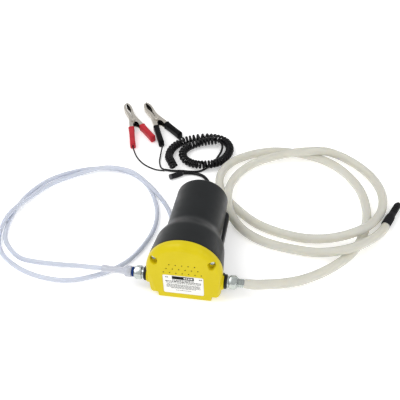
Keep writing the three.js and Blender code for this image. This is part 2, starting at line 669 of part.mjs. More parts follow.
const REDUCER_END = [-REDUCER_START - REDUCER_LENGTH - GAP, SEAM_Y, PORT_Z];
const TUBE_Z = TUBE_D / 2 + 0.2;
const TUBE_OVER = TUBE_Z + TUBE_D + 0.5;
const TUBE_ROUTE = [
  REDUCER_END, [-110, SEAM_Y, 24.4], [-118, -55.4, 23], [-132, -51, 18], [-148, -45.5, 11.5],
  [-164, -41.6, 6.2], [-180, -39.6, 3.8],
  [-197, -39, TUBE_Z], [-222, -35.5, TUBE_Z], [-243, -20, TUBE_Z], [-256, -2, TUBE_Z],
  [-262.5, 35, TUBE_Z],
  [-257, 80, TUBE_Z], [-236, 119, TUBE_Z], [-198, 146, TUBE_Z], [-160, 156, TUBE_Z], [-124, 151, TUBE_Z],
  [-94, 129, TUBE_Z], [-74, 97, TUBE_Z], [-64, 66, TUBE_Z], [-63.5, 33, TUBE_Z], [-77, -11, TUBE_Z],
  [-92, -32, TUBE_Z], [-121, -53, TUBE_Z], [-152, -64, TUBE_Z], [-190, -62, TUBE_Z], [-223, -50, TUBE_Z],
  [-251, -29, TUBE_Z], [-264, -4, 4.6], [-264, 34, TUBE_OVER], [-250, 77, 5], [-229, 112, TUBE_Z],
  [-196, 138, 4], [-160, 150, TUBE_OVER], [-122, 147, TUBE_OVER], [-91, 124, TUBE_OVER], [-67, 102, 4.4],
  [-51, 80, TUBE_Z], [-42.5, 60, TUBE_Z], [-40.5, 36, TUBE_Z],
];

// ---------- electric lead ----------
const GLAND_LENGTH = 20;
const GLAND_END = REAR + GLAND_LENGTH;

function cordGland() {
  return turned([
    [0, REAR - 6], [GLAND_R, REAR - 6], [GLAND_R, REAR + GAP], [7, REAR + GAP], [7, REAR + 3],
    [4.6, REAR + 4.5], [3, GLAND_END], [0, GLAND_END],
  ], GLAND_X, GLAND_Z, 14);
}

const LEAD_ROUTE = [
  [GLAND_X, GLAND_END + GAP, GLAND_Z], [GLAND_X, 94, GLAND_Z], [-2, 104, 20], [-1, 117, 10],
  [-2, 131, 4], [-7, 146, 2.7], [-16, 157, 2.7], [-28, 161.6, 2.7], [-38, 161.2, 3.1],
  [-46.1, 158.5, 4],
];
const SPLICE_START = new THREE.Vector3(-46.7, 158.1, 4.2);
const SPLICE_END = new THREE.Vector3(-63.5, 147.3, 4.2);

function spliceSleeve() {
  const length = SPLICE_START.distanceTo(SPLICE_END);
  const heading = Math.atan2(SPLICE_END.y - SPLICE_START.y, SPLICE_END.x - SPLICE_START.x);
  return turned([[0, 0], [3.2, 0], [4, 1.2], [4, length - 0.6], [3.4, length], [0, length]], 0, 0, 12)
    .rotateZ(heading - Math.PI / 2).translate(SPLICE_START.x, SPLICE_START.y, SPLICE_START.z);
}

const CURL_Z = CURL_D / 2 + 0.2;
const CURL_OVER = CURL_D / 2 + TAIL_D + 0.9;
const CURL_ROUTE = [
  [-58.5, 160.5, CURL_OVER + 0.5], [-66, 174, CURL_OVER], [-73.5, 192, CURL_Z], [-72, 211, CURL_Z],
  [-60, 229, CURL_Z], [-36, 242, CURL_Z], [-12, 244.5, CURL_Z], [5, 237, CURL_Z], [13.5, 221, CURL_Z],
  [12, 205, CURL_Z], [5, 190, 7.2], [-6, 178.5, 9.8], [-19, 173.5, CURL_OVER], [-35, 177, 8.4],
  [-48, 187, CURL_Z], [-54.5, 201, CURL_Z], [-50, 216, CURL_Z], [-36, 227, 7.6], [-22, 230.5, 10],
  [-9, 231, 12.5],
];

const TAIL_Z = TAIL_D / 2 + 0.2;
const TAIL_ROUTE = [
  [-8.2, 231, 12.7], [-5, 231, 12.6], [-0.5, 228.5, 10.2], [1.8, 224.5, 7], [1, 217, 3.2], [-2, 206, TAIL_Z],
  [-5, 195, TAIL_Z], [-9, 185.5, TAIL_Z], [-15.5, 176, TAIL_Z], [-24, 168.4, TAIL_Z],
  [-37, 166, TAIL_Z], [-50, 166, TAIL_Z], [-62, 164.5, TAIL_Z], [-74, 165.5, TAIL_Z],
];
const WIRE_Z = WIRE_D / 2 + 0.1;

// ---------- battery clamps ----------
const CLAMP_MID_Z = 6.7;
const CLAMPS = [
  { colour: 'red', pivot: [-146, 269], heading: 118.8, sleeve: redSleeve },
  { colour: 'black', pivot: [-110.3, 277], heading: 125.3, sleeve: blackSleeve },
];
const JAW_LENGTH = 49; // from the rivet to the tip
const SHEET = 1.1; // stamped sheet thickness
const FIXED_HALF = 4.3; // half height of the fixed arm
const MOVING_HALF = FIXED_HALF + SHEET + GAP;
const HANDLE_SLOPE = 0.21;
const HANDLE_MID = 5; // distance of a handle's middle line from the clamp's middle, at the pivot
const HANDLE_HALF = 3.3;
const SLEEVE_FROM = -17;
const SLEEVE_WALL = 1.4;
const EAR_R = 5;
const RIVET_R = 2;
const RIVET_HEAD_R = 3.6;
const RIVET_HEAD_DEPTH = 0.6;
const FIXED_HANDLE_END = -55.5;
const MOVING_HANDLE_END = -50.5;

function handleY(x) {
  return HANDLE_MID - x * HANDLE_SLOPE;
}

// Outline of one arm seen from above: the tip is on +X, the handle runs to -X, on the +Y side.
function armShape(handleEnd) {
  const shape = new THREE.Shape();
  shape.moveTo(JAW_LENGTH, GAP);
  shape.bezierCurveTo(48.6, 3.6, 43, 6.3, 36, 6.4);
  shape.bezierCurveTo(28, 6.5, 22, 5.2, 15, 5.4);
  shape.bezierCurveTo(8, 5.6, 0, 8, SLEEVE_FROM, handleY(SLEEVE_FROM) + HANDLE_HALF);
  shape.lineTo(handleEnd, handleY(handleEnd) + HANDLE_HALF);
  shape.lineTo(handleEnd, handleY(handleEnd) - HANDLE_HALF);
  shape.lineTo(-9, handleY(-9) - HANDLE_HALF);
  shape.absarc(0, 0, EAR_R, Math.PI, 2 * Math.PI, false);
  shape.lineTo(12, GAP);
  shape.lineTo(18, GAP);
  shape.bezierCurveTo(25, 3.2, 38, 3.4, 45.5, 0.5);
  return shape;
}

// Stamped channel: a web along the outside and a cheek above and below.
function clampArm(half, handleEnd) {
  let arm = toSolid(extrudeZ(armShape(handleEnd), -half, half, 4));
  const beyond = handleEnd - 2;
  const slot = [
    [49, -12], [47, 1.9], [41, 4.6], [36, 5.3], [28, 4.9], [20, 4.2], [14, 4.3], [6, 5], [0, 6.7],
    [SLEEVE_FROM, handleY(SLEEVE_FROM) + HANDLE_HALF - SHEET],
    [beyond, handleY(beyond) + HANDLE_HALF - SHEET], [beyond, -12],
  ];
  arm = arm.subtract(toSolid(extrudeZ(shapeFrom(slot.reverse()), -half + SHEET, half - SHEET)));
  const rivetHole = new THREE.CylinderGeometry(RIVET_R + GAP, RIVET_R + GAP, 40, 12);
  arm = arm.subtract(toSolid(rivetHole.rotateX(Math.PI / 2)));
  if (half > FIXED_HALF) {
    const handleLength = [handleEnd - 5, SLEEVE_FROM + 1];
    for (const [low, high] of [[FIXED_HALF, 20], [-20, -FIXED_HALF]]) {
      arm = arm.subtract(toSolid(box(handleLength, [-5, 40], [low, high])));
    }
    for (const [low, high] of [[FIXED_HALF - SHEET, FIXED_HALF], [-FIXED_HALF, SHEET - FIXED_HALF]]) {
      arm = arm.add(toSolid(handlePlate(handleEnd, low, high)));
    }
  }
  return toGeometry(arm);
}

// Cheek of the moving arm's handle, stepped in to fit its sleeve.
function handlePlate(handleEnd, low, high) {
  const from = SLEEVE_FROM + 1.5;
  return extrudeZ(shapeFrom([
    [from, handleY(from) + HANDLE_HALF - 0.1], [handleEnd, handleY(handleEnd) + HANDLE_HALF - 0.1],
    [handleEnd, handleY(handleEnd) - HANDLE_HALF], [from, handleY(from) - HANDLE_HALF],
  ]), low, high);
}

function roundedRectangle(halfWidth, halfHeight, corner) {
  const shape = new THREE.Shape();
  shape.moveTo(halfWidth, halfHeight - corner);
  shape.absarc(halfWidth - corner, halfHeight - corner, corner, 0, Math.PI / 2, false);
  shape.absarc(corner - halfWidth, halfHeight - corner, corner, Math.PI / 2, Math.PI, false);
  shape.absarc(corner - halfWidth, corner - halfHeight, corner, Math.PI, 1.5 * Math.PI, false);
  shape.absarc(halfWidth - corner, corner - halfHeight, corner, 1.5 * Math.PI, 2 * Math.PI, false);
  return shape;
}

// Length of a sleeve along its handle, with its closed end.
function sleeveLength(handleEnd) {
  return (SLEEVE_FROM - handleEnd) / Math.cos(Math.atan(HANDLE_SLOPE)) + 3;
}

// Soft sleeve over a handle, closed at its far end.
function handleSleeve(handleEnd) {
  const length = sleeveLength(handleEnd);
  const outside = extrudeY(roundedRectangle(HANDLE_HALF + SLEEVE_WALL, CLAMP_MID_Z, 2.6), 0, length, 4);
  const inside = extrudeY(roundedRectangle(HANDLE_HALF + GAP, FIXED_HALF + GAP, 0.5), -1, length - 2.2, 1);
  const sleeve = toSolid(outside).subtract(toSolid(inside));
  const geometry = toGeometry(sleeve);
  geometry.rotateZ(Math.PI / 2 - Math.atan(HANDLE_SLOPE));
  return geometry.translate(SLEEVE_FROM, handleY(SLEEVE_FROM), 0);
}

function rivet() {
  const head = MOVING_HALF + GAP;
  const top = head + RIVET_HEAD_DEPTH;
  return turned([
    [0, -top], [RIVET_HEAD_R - 0.2, -top], [RIVET_HEAD_R, -head], [RIVET_R, -head],
    [RIVET_R, head], [RIVET_HEAD_R, head], [RIVET_HEAD_R - 0.2, top], [0, top],
  ], 0, 0, 12).rotateX(Math.PI / 2);
}

function clampSpring() {
  const half = FIXED_HALF - SHEET - GAP;
  return ring(RIVET_R + 0.6, EAR_R - 0.5, -half, half, 0, 0, 12).rotateX(Math.PI / 2);
}

function addClamp({ colour, pivot, heading, sleeve }) {
  const clamp = new THREE.Group();
  clamp.position.set(pivot[0], pivot[1], CLAMP_MID_Z);
  clamp.rotation.z = THREE.MathUtils.degToRad(heading);
  addPart(`${colour}_fixed_jaw`, clampArm(FIXED_HALF, FIXED_HANDLE_END), nickelSteel, clamp);
  addPart(`${colour}_fixed_sleeve`, handleSleeve(FIXED_HANDLE_END), sleeve, clamp);
  addPart(`${colour}_rivet`, rivet(), nickelSteel, clamp);
  addPart(`${colour}_spring`, clampSpring(), springSteel, clamp);
  const moving = new THREE.Group();
  moving.rotation.x = Math.PI;
  addPart(`${colour}_moving_jaw`, clampArm(MOVING_HALF, MOVING_HANDLE_END), nickelSteel, moving);
  addPart(`${colour}_moving_sleeve`, handleSleeve(MOVING_HANDLE_END), sleeve, moving);
  clamp.add(moving);
  pump.add(clamp);
}

// A point in line with a clamp's fixed sleeve, a little way beyond its closed end.
function sleeveEndPoint({ pivot, heading }, beyond) {
  const slope = Math.atan(HANDLE_SLOPE);
  const length = sleeveLength(FIXED_HANDLE_END) + beyond;
  const local = new THREE.Vector3(
    SLEEVE_FROM - length * Math.cos(slope),
    handleY(SLEEVE_FROM) + length * Math.sin(slope),
    0,
  );
  local.applyAxisAngle(new THREE.Vector3(0, 0, 1), THREE.MathUtils.degToRad(heading));
  return [pivot[0] + local.x, pivot[1] + local.y, CLAMP_MID_Z];
}

// ---------- assembly ----------
addPart('front_cap', frontCap(), yellowPlastic);
addPart('rating_label', ratingLabel(), labelFilm);
addPart('motor_housing', motorHousing(), blackPlastic);
addPart('pump_cover', pumpCover(), castAluminium);
addPart('pump_gasket', pumpGasket(), blackRubber);
addPart('pump_body', pumpBody(), castAluminium);
addPart('drive_gear', spurGear(-Math.PI / 2, SHAFT_R + GAP, AXIS_Z), gearSteel);
addPart('driven_gear', spurGear(Math.PI / 2 + Math.PI / GEAR_TEETH, GEAR_PIN_R, DRIVEN_Z), gearSteel);
addPart('gear_pin', gearPin(), gearSteel);
addPart('shaft_seal', shaftSeal(), blackRubber);
addPart('motor_front_plate', frontPlate(), zincSteel);
addPart('front_bush', bush(PLATE_Y), bronze);
addPart('motor_can', motorCan(), zincSteel);
addPart('rotor_core', rotorCore(), copper);
addPart('commutator', ring(SHAFT_R + GAP, 7, COMMUTATOR_Y, COMMUTATOR_Y + 10, 0, AXIS_Z, 16), copper);
addPart('motor_shaft', disc(SHAFT_R, GEAR_Y + 0.2, SHAFT_END, 0, AXIS_Z, 14), gearSteel);
addPart('brush_plate', brushPlate(), blackPlastic);
addPart('rear_bush', bush(BRUSH_PLATE_Y), bronze);
for (const [side, word] of [[-1, 'left'], [1, 'right']]) {
  addPart(`${word}_cap_screw`, capScrew(side), zincSteel);
  addPart(`${word}_magnet`, magnet(side), magnetBlack);
  addPart(`${word}_brush`, brush(side), magnetBlack);
  addPart(`${word}_port_collar`, portCollar(side), blackPlastic);
  addPart(`${word}_port_nipple`, portNipple(side), zincSteel);
  addPart(`${word}_union_nut`, unionNut(side), zincSteel);
  addPart(`${word}_hose_tail`, hoseTail(side, side > 0 ? RIGHT_TAIL_END : LEFT_TAIL_END), zincSteel);
}
addPart('thick_hose', tubeAlong(HOSE_ROUTE, HOSE_D, 50, 8), creamHose);
const suction = addPart('suction_end', suctionEnd(), blackPlastic);
suction.position.set(245.7, 102.4, HOSE_Z);
suction.rotation.z = THREE.MathUtils.degToRad(-22);
const washer = portRing(REDUCER_BORE_R, WASHER_R, WASHER_SPAN[0], WASHER_SPAN[1], -1, 16);
addPart('blue_washer', washer, blueRubber);
addPart('reducer_tube', reducerTube(), clearTube);
addPart('thin_tube', tubeAlong(TUBE_ROUTE, TUBE_D, 50, 8), clearTube);
addPart('cord_gland', cordGland(), blackRubber);
addPart('motor_lead', tubeAlong(LEAD_ROUTE, LEAD_D, 9, 8), blackCord);
addPart('splice_sleeve', spliceSleeve(), blackRubber);
addPart('curly_cord', tubeAlong(CURL_ROUTE, CURL_D, 24, 8), blackCord);
addPart('tail_cord', tubeAlong(TAIL_ROUTE, TAIL_D, 18, 8), blackCord);
CLAMPS.forEach(addClamp);
const RED_WIRE_ROUTE = [
  [-74.6, 164.1, WIRE_Z], [-88, 165, WIRE_Z], [-107, 174, WIRE_Z], [-122, 188, 3],
  sleeveEndPoint(CLAMPS[0], 5), sleeveEndPoint(CLAMPS[0], GAP),
];
const BLACK_WIRE_ROUTE = [
  [-74.6, 166.9, WIRE_Z], [-80, 169, WIRE_Z], [-86, 182, WIRE_Z], [-88, 200, 3],
  sleeveEndPoint(CLAMPS[1], 5), sleeveEndPoint(CLAMPS[1], GAP),
];
addPart('red_wire', tubeAlong(RED_WIRE_ROUTE, WIRE_D, 8, 8), blackCord);
addPart('black_wire', tubeAlong(BLACK_WIRE_ROUTE, WIRE_D, 6, 8), blackCord);

export default pump;
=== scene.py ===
"""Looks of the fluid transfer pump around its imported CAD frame. Metres, +Z up, -Y at the cap."""
import random
from math import asin, atan, atan2, cos, degrees, exp, hypot, pi, radians, sin, sqrt

import bmesh
import bpy
from mathutils import Matrix, Vector


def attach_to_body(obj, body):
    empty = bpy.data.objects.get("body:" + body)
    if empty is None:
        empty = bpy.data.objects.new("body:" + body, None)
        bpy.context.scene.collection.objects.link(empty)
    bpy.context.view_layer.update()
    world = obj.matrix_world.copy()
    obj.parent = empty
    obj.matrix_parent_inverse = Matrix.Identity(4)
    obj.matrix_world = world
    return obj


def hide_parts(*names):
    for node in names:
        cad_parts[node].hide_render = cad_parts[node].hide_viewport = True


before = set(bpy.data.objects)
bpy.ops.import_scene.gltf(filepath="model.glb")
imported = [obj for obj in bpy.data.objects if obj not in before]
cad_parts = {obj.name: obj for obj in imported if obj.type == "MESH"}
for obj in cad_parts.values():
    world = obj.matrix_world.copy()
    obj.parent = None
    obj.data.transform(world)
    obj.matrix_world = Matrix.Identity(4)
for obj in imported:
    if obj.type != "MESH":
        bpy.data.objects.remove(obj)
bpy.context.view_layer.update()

# ---------- dimensions shared with the CAD ----------
FRONT = -0.069  # flat face of the cap
REAR = 0.069
AXIS_Z = 0.0415
DRUM_R = 0.046
SHOULDER_R = 0.0425
BARREL_R = 0.0346
BARREL_REAR_R = 0.0334
REAR_FILLET = 0.004
SEAM_Y = -0.0564
SHOULDER_Y = -0.023
CONE_END_Y = -0.003
WALL = 0.0026
GAP = 0.0003
FOOT_Z = 0.007
FOOT_HALF = 0.033
PORT_Z = 0.0245
PORT_R = 0.0058
PORT_BORE_R = 0.0036
PORT_BOSS_R = 0.0104
PORT_BOSS_END = 0.047
NUT_START = 0.0535
NUT_END = 0.0628
SCREW_X = 0.0345
SCREW_Z = 0.0625
SCREW_TOP_R = 0.0046
SCREW_HOLE_R = 0.0019
CAP_POST_R = 0.0065
HOUSING_POST_R = 0.006
SCREW_HEAD_R = 0.0035
SCREW_HEAD_Y = FRONT + 0.004
SCREW_SEAT_Y = SCREW_HEAD_Y + 0.0017
POCKET_LENGTH = 0.0076
POCKET_WALL = 0.0014
HOSE_D = 0.012
HOSE_BORE_R = 0.0043
TUBE_D = 0.006
TUBE_BORE_R = 0.002
LEAD_D = 0.0048
CURL_D = 0.013
CURL_WIRE_D = 0.0038
TAIL_D = 0.0034
WIRE_D = 0.0022
CLAMP_MID_Z = 0.0067
CLAMPS = {"red": ((-0.146, 0.269), 118.8), "black": ((-0.1103, 0.277), 125.3)}  # pivot, heading in degrees
HANDLE_SLOPE = 0.21
HANDLE_MID = 0.005
HANDLE_HALF = 0.0033
HANDLE_ENDS = {"fixed": -0.0555, "moving": -0.0505}
SLEEVE_FROM = -0.017
SLEEVE_CLOSED_END = 0.003
HOSE_STEP = 0.004  # between the points of a hose, and of a cord
CORD_STEP = 0.0015
PLUG_LENGTH = 0.018  # ribbed barrel of the suction end, around the hose's last stretch
X_AXIS = Vector((1, 0, 0))
Y_AXIS = Vector((0, 1, 0))
Z_AXIS = Vector((0, 0, 1))


def place_object(name, data):
    made = bpy.data.objects.new(name, data)
    bpy.context.scene.collection.objects.link(made)
    return made


# ---------- camera ----------
def add_camera():
    data = bpy.data.cameras.new("camera")
    data.sensor_width = 36
    data.lens = 64.71
    data.clip_start = 0.01
    data.clip_end = 20
    camera = place_object("camera", data)
    right = Vector((0.98436, 0.17266, -0.03499))
    up = Vector((-0.08994, 0.66327, 0.74295))
    back = Vector((0.15149, -0.72819, 0.66843))
    place = Matrix((right, up, back)).transposed().to_4x4()
    place.translation = Vector((0.13951, -0.62115, 0.67048))
    camera.matrix_world = place
    bpy.context.scene.camera = camera


# ---------- mesh helpers ----------
def mesh_of(form, name, *materials):
    """Mesh made of a bmesh, which is used up."""
    mesh = bpy.data.meshes.new(name)
    form.to_mesh(mesh)
    form.free()
    for material in materials:
        if material:
            mesh.materials.append(material)
    return mesh


def finish_mesh(name, form, material, sharp=35):
    """Turns a bmesh into a smooth object, with edges sharper than the given degrees kept crisp."""
    bmesh.ops.remove_doubles(form, verts=form.verts, dist=1e-6)
    bmesh.ops.recalc_face_normals(form, faces=form.faces)
    piece = place_object(name, mesh_of(form, name, material))
    smooth(piece, sharp)
    return piece


def smooth(piece, sharp=35):
    mesh = piece.data
    mesh.polygons.foreach_set("use_smooth", [True] * len(mesh.polygons))
    mesh.set_sharp_from_angle(angle=radians(sharp))
    mesh.update()


def apply_modifiers(piece):
    graph = bpy.context.evaluated_depsgraph_get()
    shaped = bpy.data.meshes.new_from_object(piece.evaluated_get(graph))
    piece.modifiers.clear()
    piece.data = shaped


def combine(piece, other, operation):
    """Joins another closed piece on, or cuts it away, and removes it."""
    modifier = piece.modifiers.new("combine", "BOOLEAN")
    modifier.operation = operation
    modifier.object = other
    modifier.solver = "EXACT"
    modifier.material_mode = "TRANSFER"
    apply_modifiers(piece)
    bpy.data.objects.remove(other)


def cut(piece, tool):
    combine(piece, tool, "DIFFERENCE")


def fill_cut_faces(piece, material):
    """Gives the faces that a tool without a material has cut the piece's own material."""
    for i, look in enumerate(piece.data.materials):
        if look is None:
            piece.data.materials[i] = material


def bevel(piece, width, segments, angle):
    modifier = piece.modifiers.new("bevel", "BEVEL")
    modifier.width = width
    modifier.segments = segments
    modifier.limit_method = "ANGLE"
    modifier.angle_limit = radians(angle)
    apply_modifiers(piece)
    smooth(piece)


def bridge(form, near, far):
    """Faces between two closed rings of points."""
    for i in range(len(near)):
        j = (i + 1) % len(near)
        form.faces.new((near[i], near[j], far[j], far[i]))


def loft(name, sections, material=None, sharp=35):
    """Closed body through sections of equal point count."""
    form = bmesh.new()
    rings = [[form.verts.new(point) for point in section] for section in sections]
    for near, far in zip(rings, rings[1:]):
        bridge(form, near, far)
    form.faces.new(rings[0])
    form.faces.new(list(reversed(rings[-1])))
    return finish_mesh(name, form, material, sharp)


def square_axes(direction):
    """A sideways and an over vector, square to a direction."""
    side = direction.cross(Z_AXIS)
    if side.length < 1e-3:
        side = X_AXIS.copy()
    side.normalize()
    return side, side.cross(direction).normalized()


def turned(name, profile, origin, direction, material=None, segments=48, sharp=35):
    """Profile of (radius, distance) points turned about a line. It closes on itself, or along the line."""
    side, over = square_axes(direction)
    form = bmesh.new()
    rings = []
    for i in range(segments):
        angle = 2 * pi * i / segments
        outwards = side * cos(angle) + over * sin(angle)
        rings.append([form.verts.new(origin + direction * d + outwards * r) for r, d in profile])
    count = len(profile)
    for i in range(segments):
        near = rings[i]
        far = rings[(i + 1) % segments]
        for j in range(count):
            k = (j + 1) % count
            if profile[j][0] > 0 or profile[k][0] > 0:
                form.faces.new((near[j], near[k], far[k], far[j]))
    bmesh.ops.dissolve_degenerate(form, dist=1e-7, edges=form.edges)
    return finish_mesh(name, form, material, sharp)


def repeated(shape, start, pitch, count):
    """Profile points of a thread or of ribs: one shape, again and again along the line."""
    return [(radius, start + i * pitch + along) for i in range(count) for radius, along in shape]


def turned_port(name, profile, side, material, *shape):
    return turned(name, profile, Vector((0, SEAM_Y, PORT_Z)), X_AXIS * side, material, *shape)


def prism(name, outline, start, end, material=None):
    """Outline of (x, z) points pushed along Y."""
    return loft(name, [[(x, y, z) for x, z in outline] for y in (start, end)], material)


def box_piece(name, xs, ys, zs, material=None):
    outline = [(xs[0], zs[0]), (xs[1], zs[0]), (xs[1], zs[1]), (xs[0], zs[1])]
    return prism(name, outline, ys[0], ys[1], material)


def merge(name, pieces):
    """One object from several, each keeping its own material."""
    form = bmesh.new()
    looks = []
    for piece in pieces:
        start = len(form.faces)
        form.from_mesh(piece.data)
        form.faces.ensure_lookup_table()
        material = piece.data.materials[0]
        if material not in looks:
            looks.append(material)
        for face in form.faces[start:]:
            face.material_index = looks.index(material)
        bpy.data.objects.remove(piece)
    piece = place_object(name, mesh_of(form, name, *looks))
    smooth(piece)
    return piece


def attach(piece, body="pump"):
    """Makes a piece ride on a body and stand for the CAD node that it is named after."""
    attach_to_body(piece, body)
    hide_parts(piece.name.removesuffix("_look"))


def ease(start, end, value):
    """0 up to the start and 1 from the end on, with a smooth change between."""
    share = min(max((value - start) / (end - start), 0), 1)
    return share * share * (3 - 2 * share)


# ---------- routes ----------
def spline_through(points, step):
    """Points along the centripetal Catmull-Rom curve through the route, about one step apart."""
    route = [Vector(point) for point in points]
    route.insert(0, 2 * route[0] - route[1])
    route.append(2 * route[-1] - route[-2])
    fine = []
    for a, b, c, d in zip(route, route[1:], route[2:], route[3:]):
        gaps = [max((q - p).length, 1e-6) ** 0.5 for p, q in ((a, b), (b, c), (c, d))]
        leave = (b - a) / gaps[0] - (c - a) / (gaps[0] + gaps[1]) + (c - b) / gaps[1]
        arrive = (c - b) / gaps[1] - (d - b) / (gaps[1] + gaps[2]) + (d - c) / gaps[2]
        leave *= gaps[1]
        arrive *= gaps[1]
        count = 40
        for i in range(count):
            t = i / count
            bend = (3 * (c - b) - 2 * leave - arrive) * t**2
            fine.append(b + leave * t + bend + (2 * (b - c) + leave + arrive) * t**3)
    fine.append(route[-2])
    return evenly(fine, step)


def evenly(fine, step):
    """Points along a line of many points, equally far apart."""
    lengths = [0.0]
    for p, q in zip(fine, fine[1:]):
        lengths.append(lengths[-1] + (q - p).length)
    count = max(int(round(lengths[-1] / step)), 2)
    spaced = []
    k = 0
    for i in range(count + 1):
        want = lengths[-1] * i / count
        while k < len(fine) - 2 and lengths[k + 1] < want:
            k += 1
        share = (want - lengths[k]) / max(lengths[k + 1] - lengths[k], 1e-9)
        spaced.append(fine[k].lerp(fine[k + 1], min(share, 1)))
    return spaced


def length_of(points):
    return sum((q - p).length for p, q in zip(points, points[1:]))


def frames_along(points):
    """A direction, a sideways and an over vector at each point, turning no more than the line does."""
    frames = []
    over = None
    for i, point in enumerate(points):
        direction = (points[min(i + 1, len(points) - 1)] - points[max(i - 1, 0)]).normalized()
        if over is None:
            side, over = square_axes(direction)
        side = direction.cross(over).normalized()
        over = side.cross(direction).normalized()
        frames.append((point, direction, side, over))
    return frames


def hollow_tube(name, points, outer, inner, material, sides=20):
    """Tube with a wall and open ends. outer(distance) is its radius there."""
    form = bmesh.new()
    walls = []
    distance = 0.0
    previous = points[0]
    for point, _, side, over in frames_along(points):
        distance += (point - previous).length
        previous = point
        ring = []
        for radius in (outer(distance), inner(distance)):
            for i in range(sides):
                angle = 2 * pi * i / sides
                outwards = side * cos(angle) + over * sin(angle)
                ring.append(form.verts.new(point + outwards * radius))
        walls.append(ring)
    for near, far in zip(walls, walls[1:]):
        bridge(form, near[:sides], far[:sides])
        bridge(form, far[sides:], near[sides:])
    for ring in (walls[0], walls[-1]):
        bridge(form, ring[:sides], ring[sides:])
    return finish_mesh(name, form, material)


def round_cord(name, points, diameter, material, sides):
    """Curve of one open spline with a round section."""
    data = bpy.data.curves.new(name, "CURVE")
    data.dimensions = "3D"
    data.bevel_depth = diameter / 2
    data.bevel_resolution = sides
    data.use_fill_caps = True
    spline = data.splines.new("POLY")
    spline.points.add(len(points) - 1)
    for spot, point in zip(spline.points, points):
        spot.co = (*point, 1)
    spline.use_smooth = True
    data.materials.append(material)
    return place_object(name, data)


# ---------- materials ----------
class Look:
    """A principled material with procedural detail in object coordinates, in metres."""

    def __init__(self, name, colour, roughness, metallic=0.0, **sockets):
        self.material = bpy.data.materials.new(name)
        self.material.use_nodes = True
        self.tree = self.material.node_tree
        self.shader = self.tree.nodes["Principled BSDF"]
        self.colour = colour
        self.feed(self.shader, Base_Color=(*colour, 1), Roughness=roughness, Metallic=metallic, **sockets)
        self.place = self.tree.nodes.new("ShaderNodeTexCoord").outputs["Object"]

    def feed(self, node, **inputs):
        """Sets a node's inputs to values, or joins them to other nodes' outputs."""
        for name, value in inputs.items():
            socket = node.inputs[name.replace("_", " ")]
            if isinstance(value, bpy.types.NodeSocket):
                self.tree.links.new(value, socket)
            else:
                socket.default_value = value

    def add(self, kind, output, **inputs):
        node = self.tree.nodes.new(f"ShaderNode{kind}")
        self.feed(node, **inputs)
        return node.outputs[output]

    def noise(self, scale, detail=3.0, stretch=None):
        source = self.place
        if stretch:
            source = self.add("Mapping", "Vector", Scale=stretch, Vector=source)
        return self.add("TexNoise", "Fac", Scale=scale, Detail=detail, Vector=source)

    def vary_colour(self, other, scale):
        ramp = self.tree.nodes.new("ShaderNodeValToRGB")
        for element, position, colour in zip(ramp.color_ramp.elements, (0.35, 0.65), (self.colour, other)):
            element.position = position
            element.color = (*colour, 1)
        self.feed(ramp, Fac=self.noise(scale))
        self.feed(self.shader, Base_Color=ramp.outputs["Color"])
        return self

    def vary_roughness(self, low, high, scale, stretch=None):
        noise = self.noise(scale, stretch=stretch)
        spread = self.add("MapRange", "Result", From_Min=0.3, From_Max=0.7, To_Min=low, To_Max=high,
                          Value=noise)
        self.feed(self.shader, Roughness=spread)
        return self

    def grain(self, scale, depth, stretch=None):
        height = self.noise(scale, 2.0, stretch)
        bump = self.add("Bump", "Normal", Distance=depth, Strength=1.0, Height=height)
        self.feed(self.shader, Normal=bump)
        return self


def moulded_yellow():
    look = Look("yellow_plastic", (0.68, 0.545, 0.006), 0.34, Specular_IOR_Level=0.16)
    look.vary_colour((0.71, 0.575, 0.009), 45).vary_roughness(0.30, 0.40, 120)
    return look.grain(2600, 0.00001).material


def pit_painted_shade():
    # Dark olive: painted shade for the insides of the vent pits, where the real plastic is the cap's yellow.
    look = Look("yellow_plastic_pit_painted_shade", (0.21, 0.16, 0.012), 0.6)
    return look.vary_colour((0.28, 0.21, 0.015), 600).material


def moulded_black(name="black_plastic", colour=(0.008, 0.0095, 0.0105), roughness=0.38):
    look = Look(name, colour, roughness, Specular_IOR_Level=0.25)
    look.vary_colour(tuple(c * 1.25 for c in colour), 60)
    look.vary_roughness(roughness - 0.05, roughness + 0.07, 90)
    return look.grain(2400, 0.00002).material


def rubber(name, colour, roughness):
    look = Look(name, colour, roughness, Specular_IOR_Level=0.08)
    look.vary_colour(tuple(c * 1.15 for c in colour), 120)
    look.vary_roughness(roughness - 0.04, roughness + 0.05, 200)
    return look.grain(1800, 0.00001).material


def plated(name, colour, other, roughness, spread, stretch):
    look = Look(name, colour, roughness, 1.0)
    look.vary_colour(other, 220).vary_roughness(roughness, roughness + spread, 300, stretch)
    return look.grain(900, 0.000006, stretch=stretch).material


def cloudy_hose():
    look = Look(
        "cream_hose", (0.97, 0.945, 0.84), 0.2, Transmission_Weight=0.4, IOR=1.4,
        Subsurface_Weight=0.5, Subsurface_Scale=0.006, Subsurface_Radius=(1.0, 0.9, 0.7),
    )
    return look.vary_colour((0.95, 0.92, 0.80), 25).vary_roughness(0.18, 0.26, 60).material


def clear_plastic(name, colour, other, transmission):
    look = Look(name, colour, 0.1, Transmission_Weight=transmission, IOR=1.38)
    return look.vary_colour(other, 40).vary_roughness(0.07, 0.14, 80).material


def cord_jacket():
    look = Look("black_cord", (0.002, 0.002, 0.003), 0.16, Specular_IOR_Level=0.22)
    return look.vary_colour((0.004, 0.004, 0.005), 300).vary_roughness(0.16, 0.26, 400).material


def printed_film():
    look = Look("label_film", (0.92, 0.92, 0.91), 0.35)
    return look.vary_colour((0.89, 0.89, 0.88), 90).vary_roughness(0.3, 0.4, 200).material


def ink(name, colour):
    look = Look(name, colour, 0.5, Specular_IOR_Level=0.1)
    return look.vary_colour(tuple(c * 1.15 for c in colour), 500).material


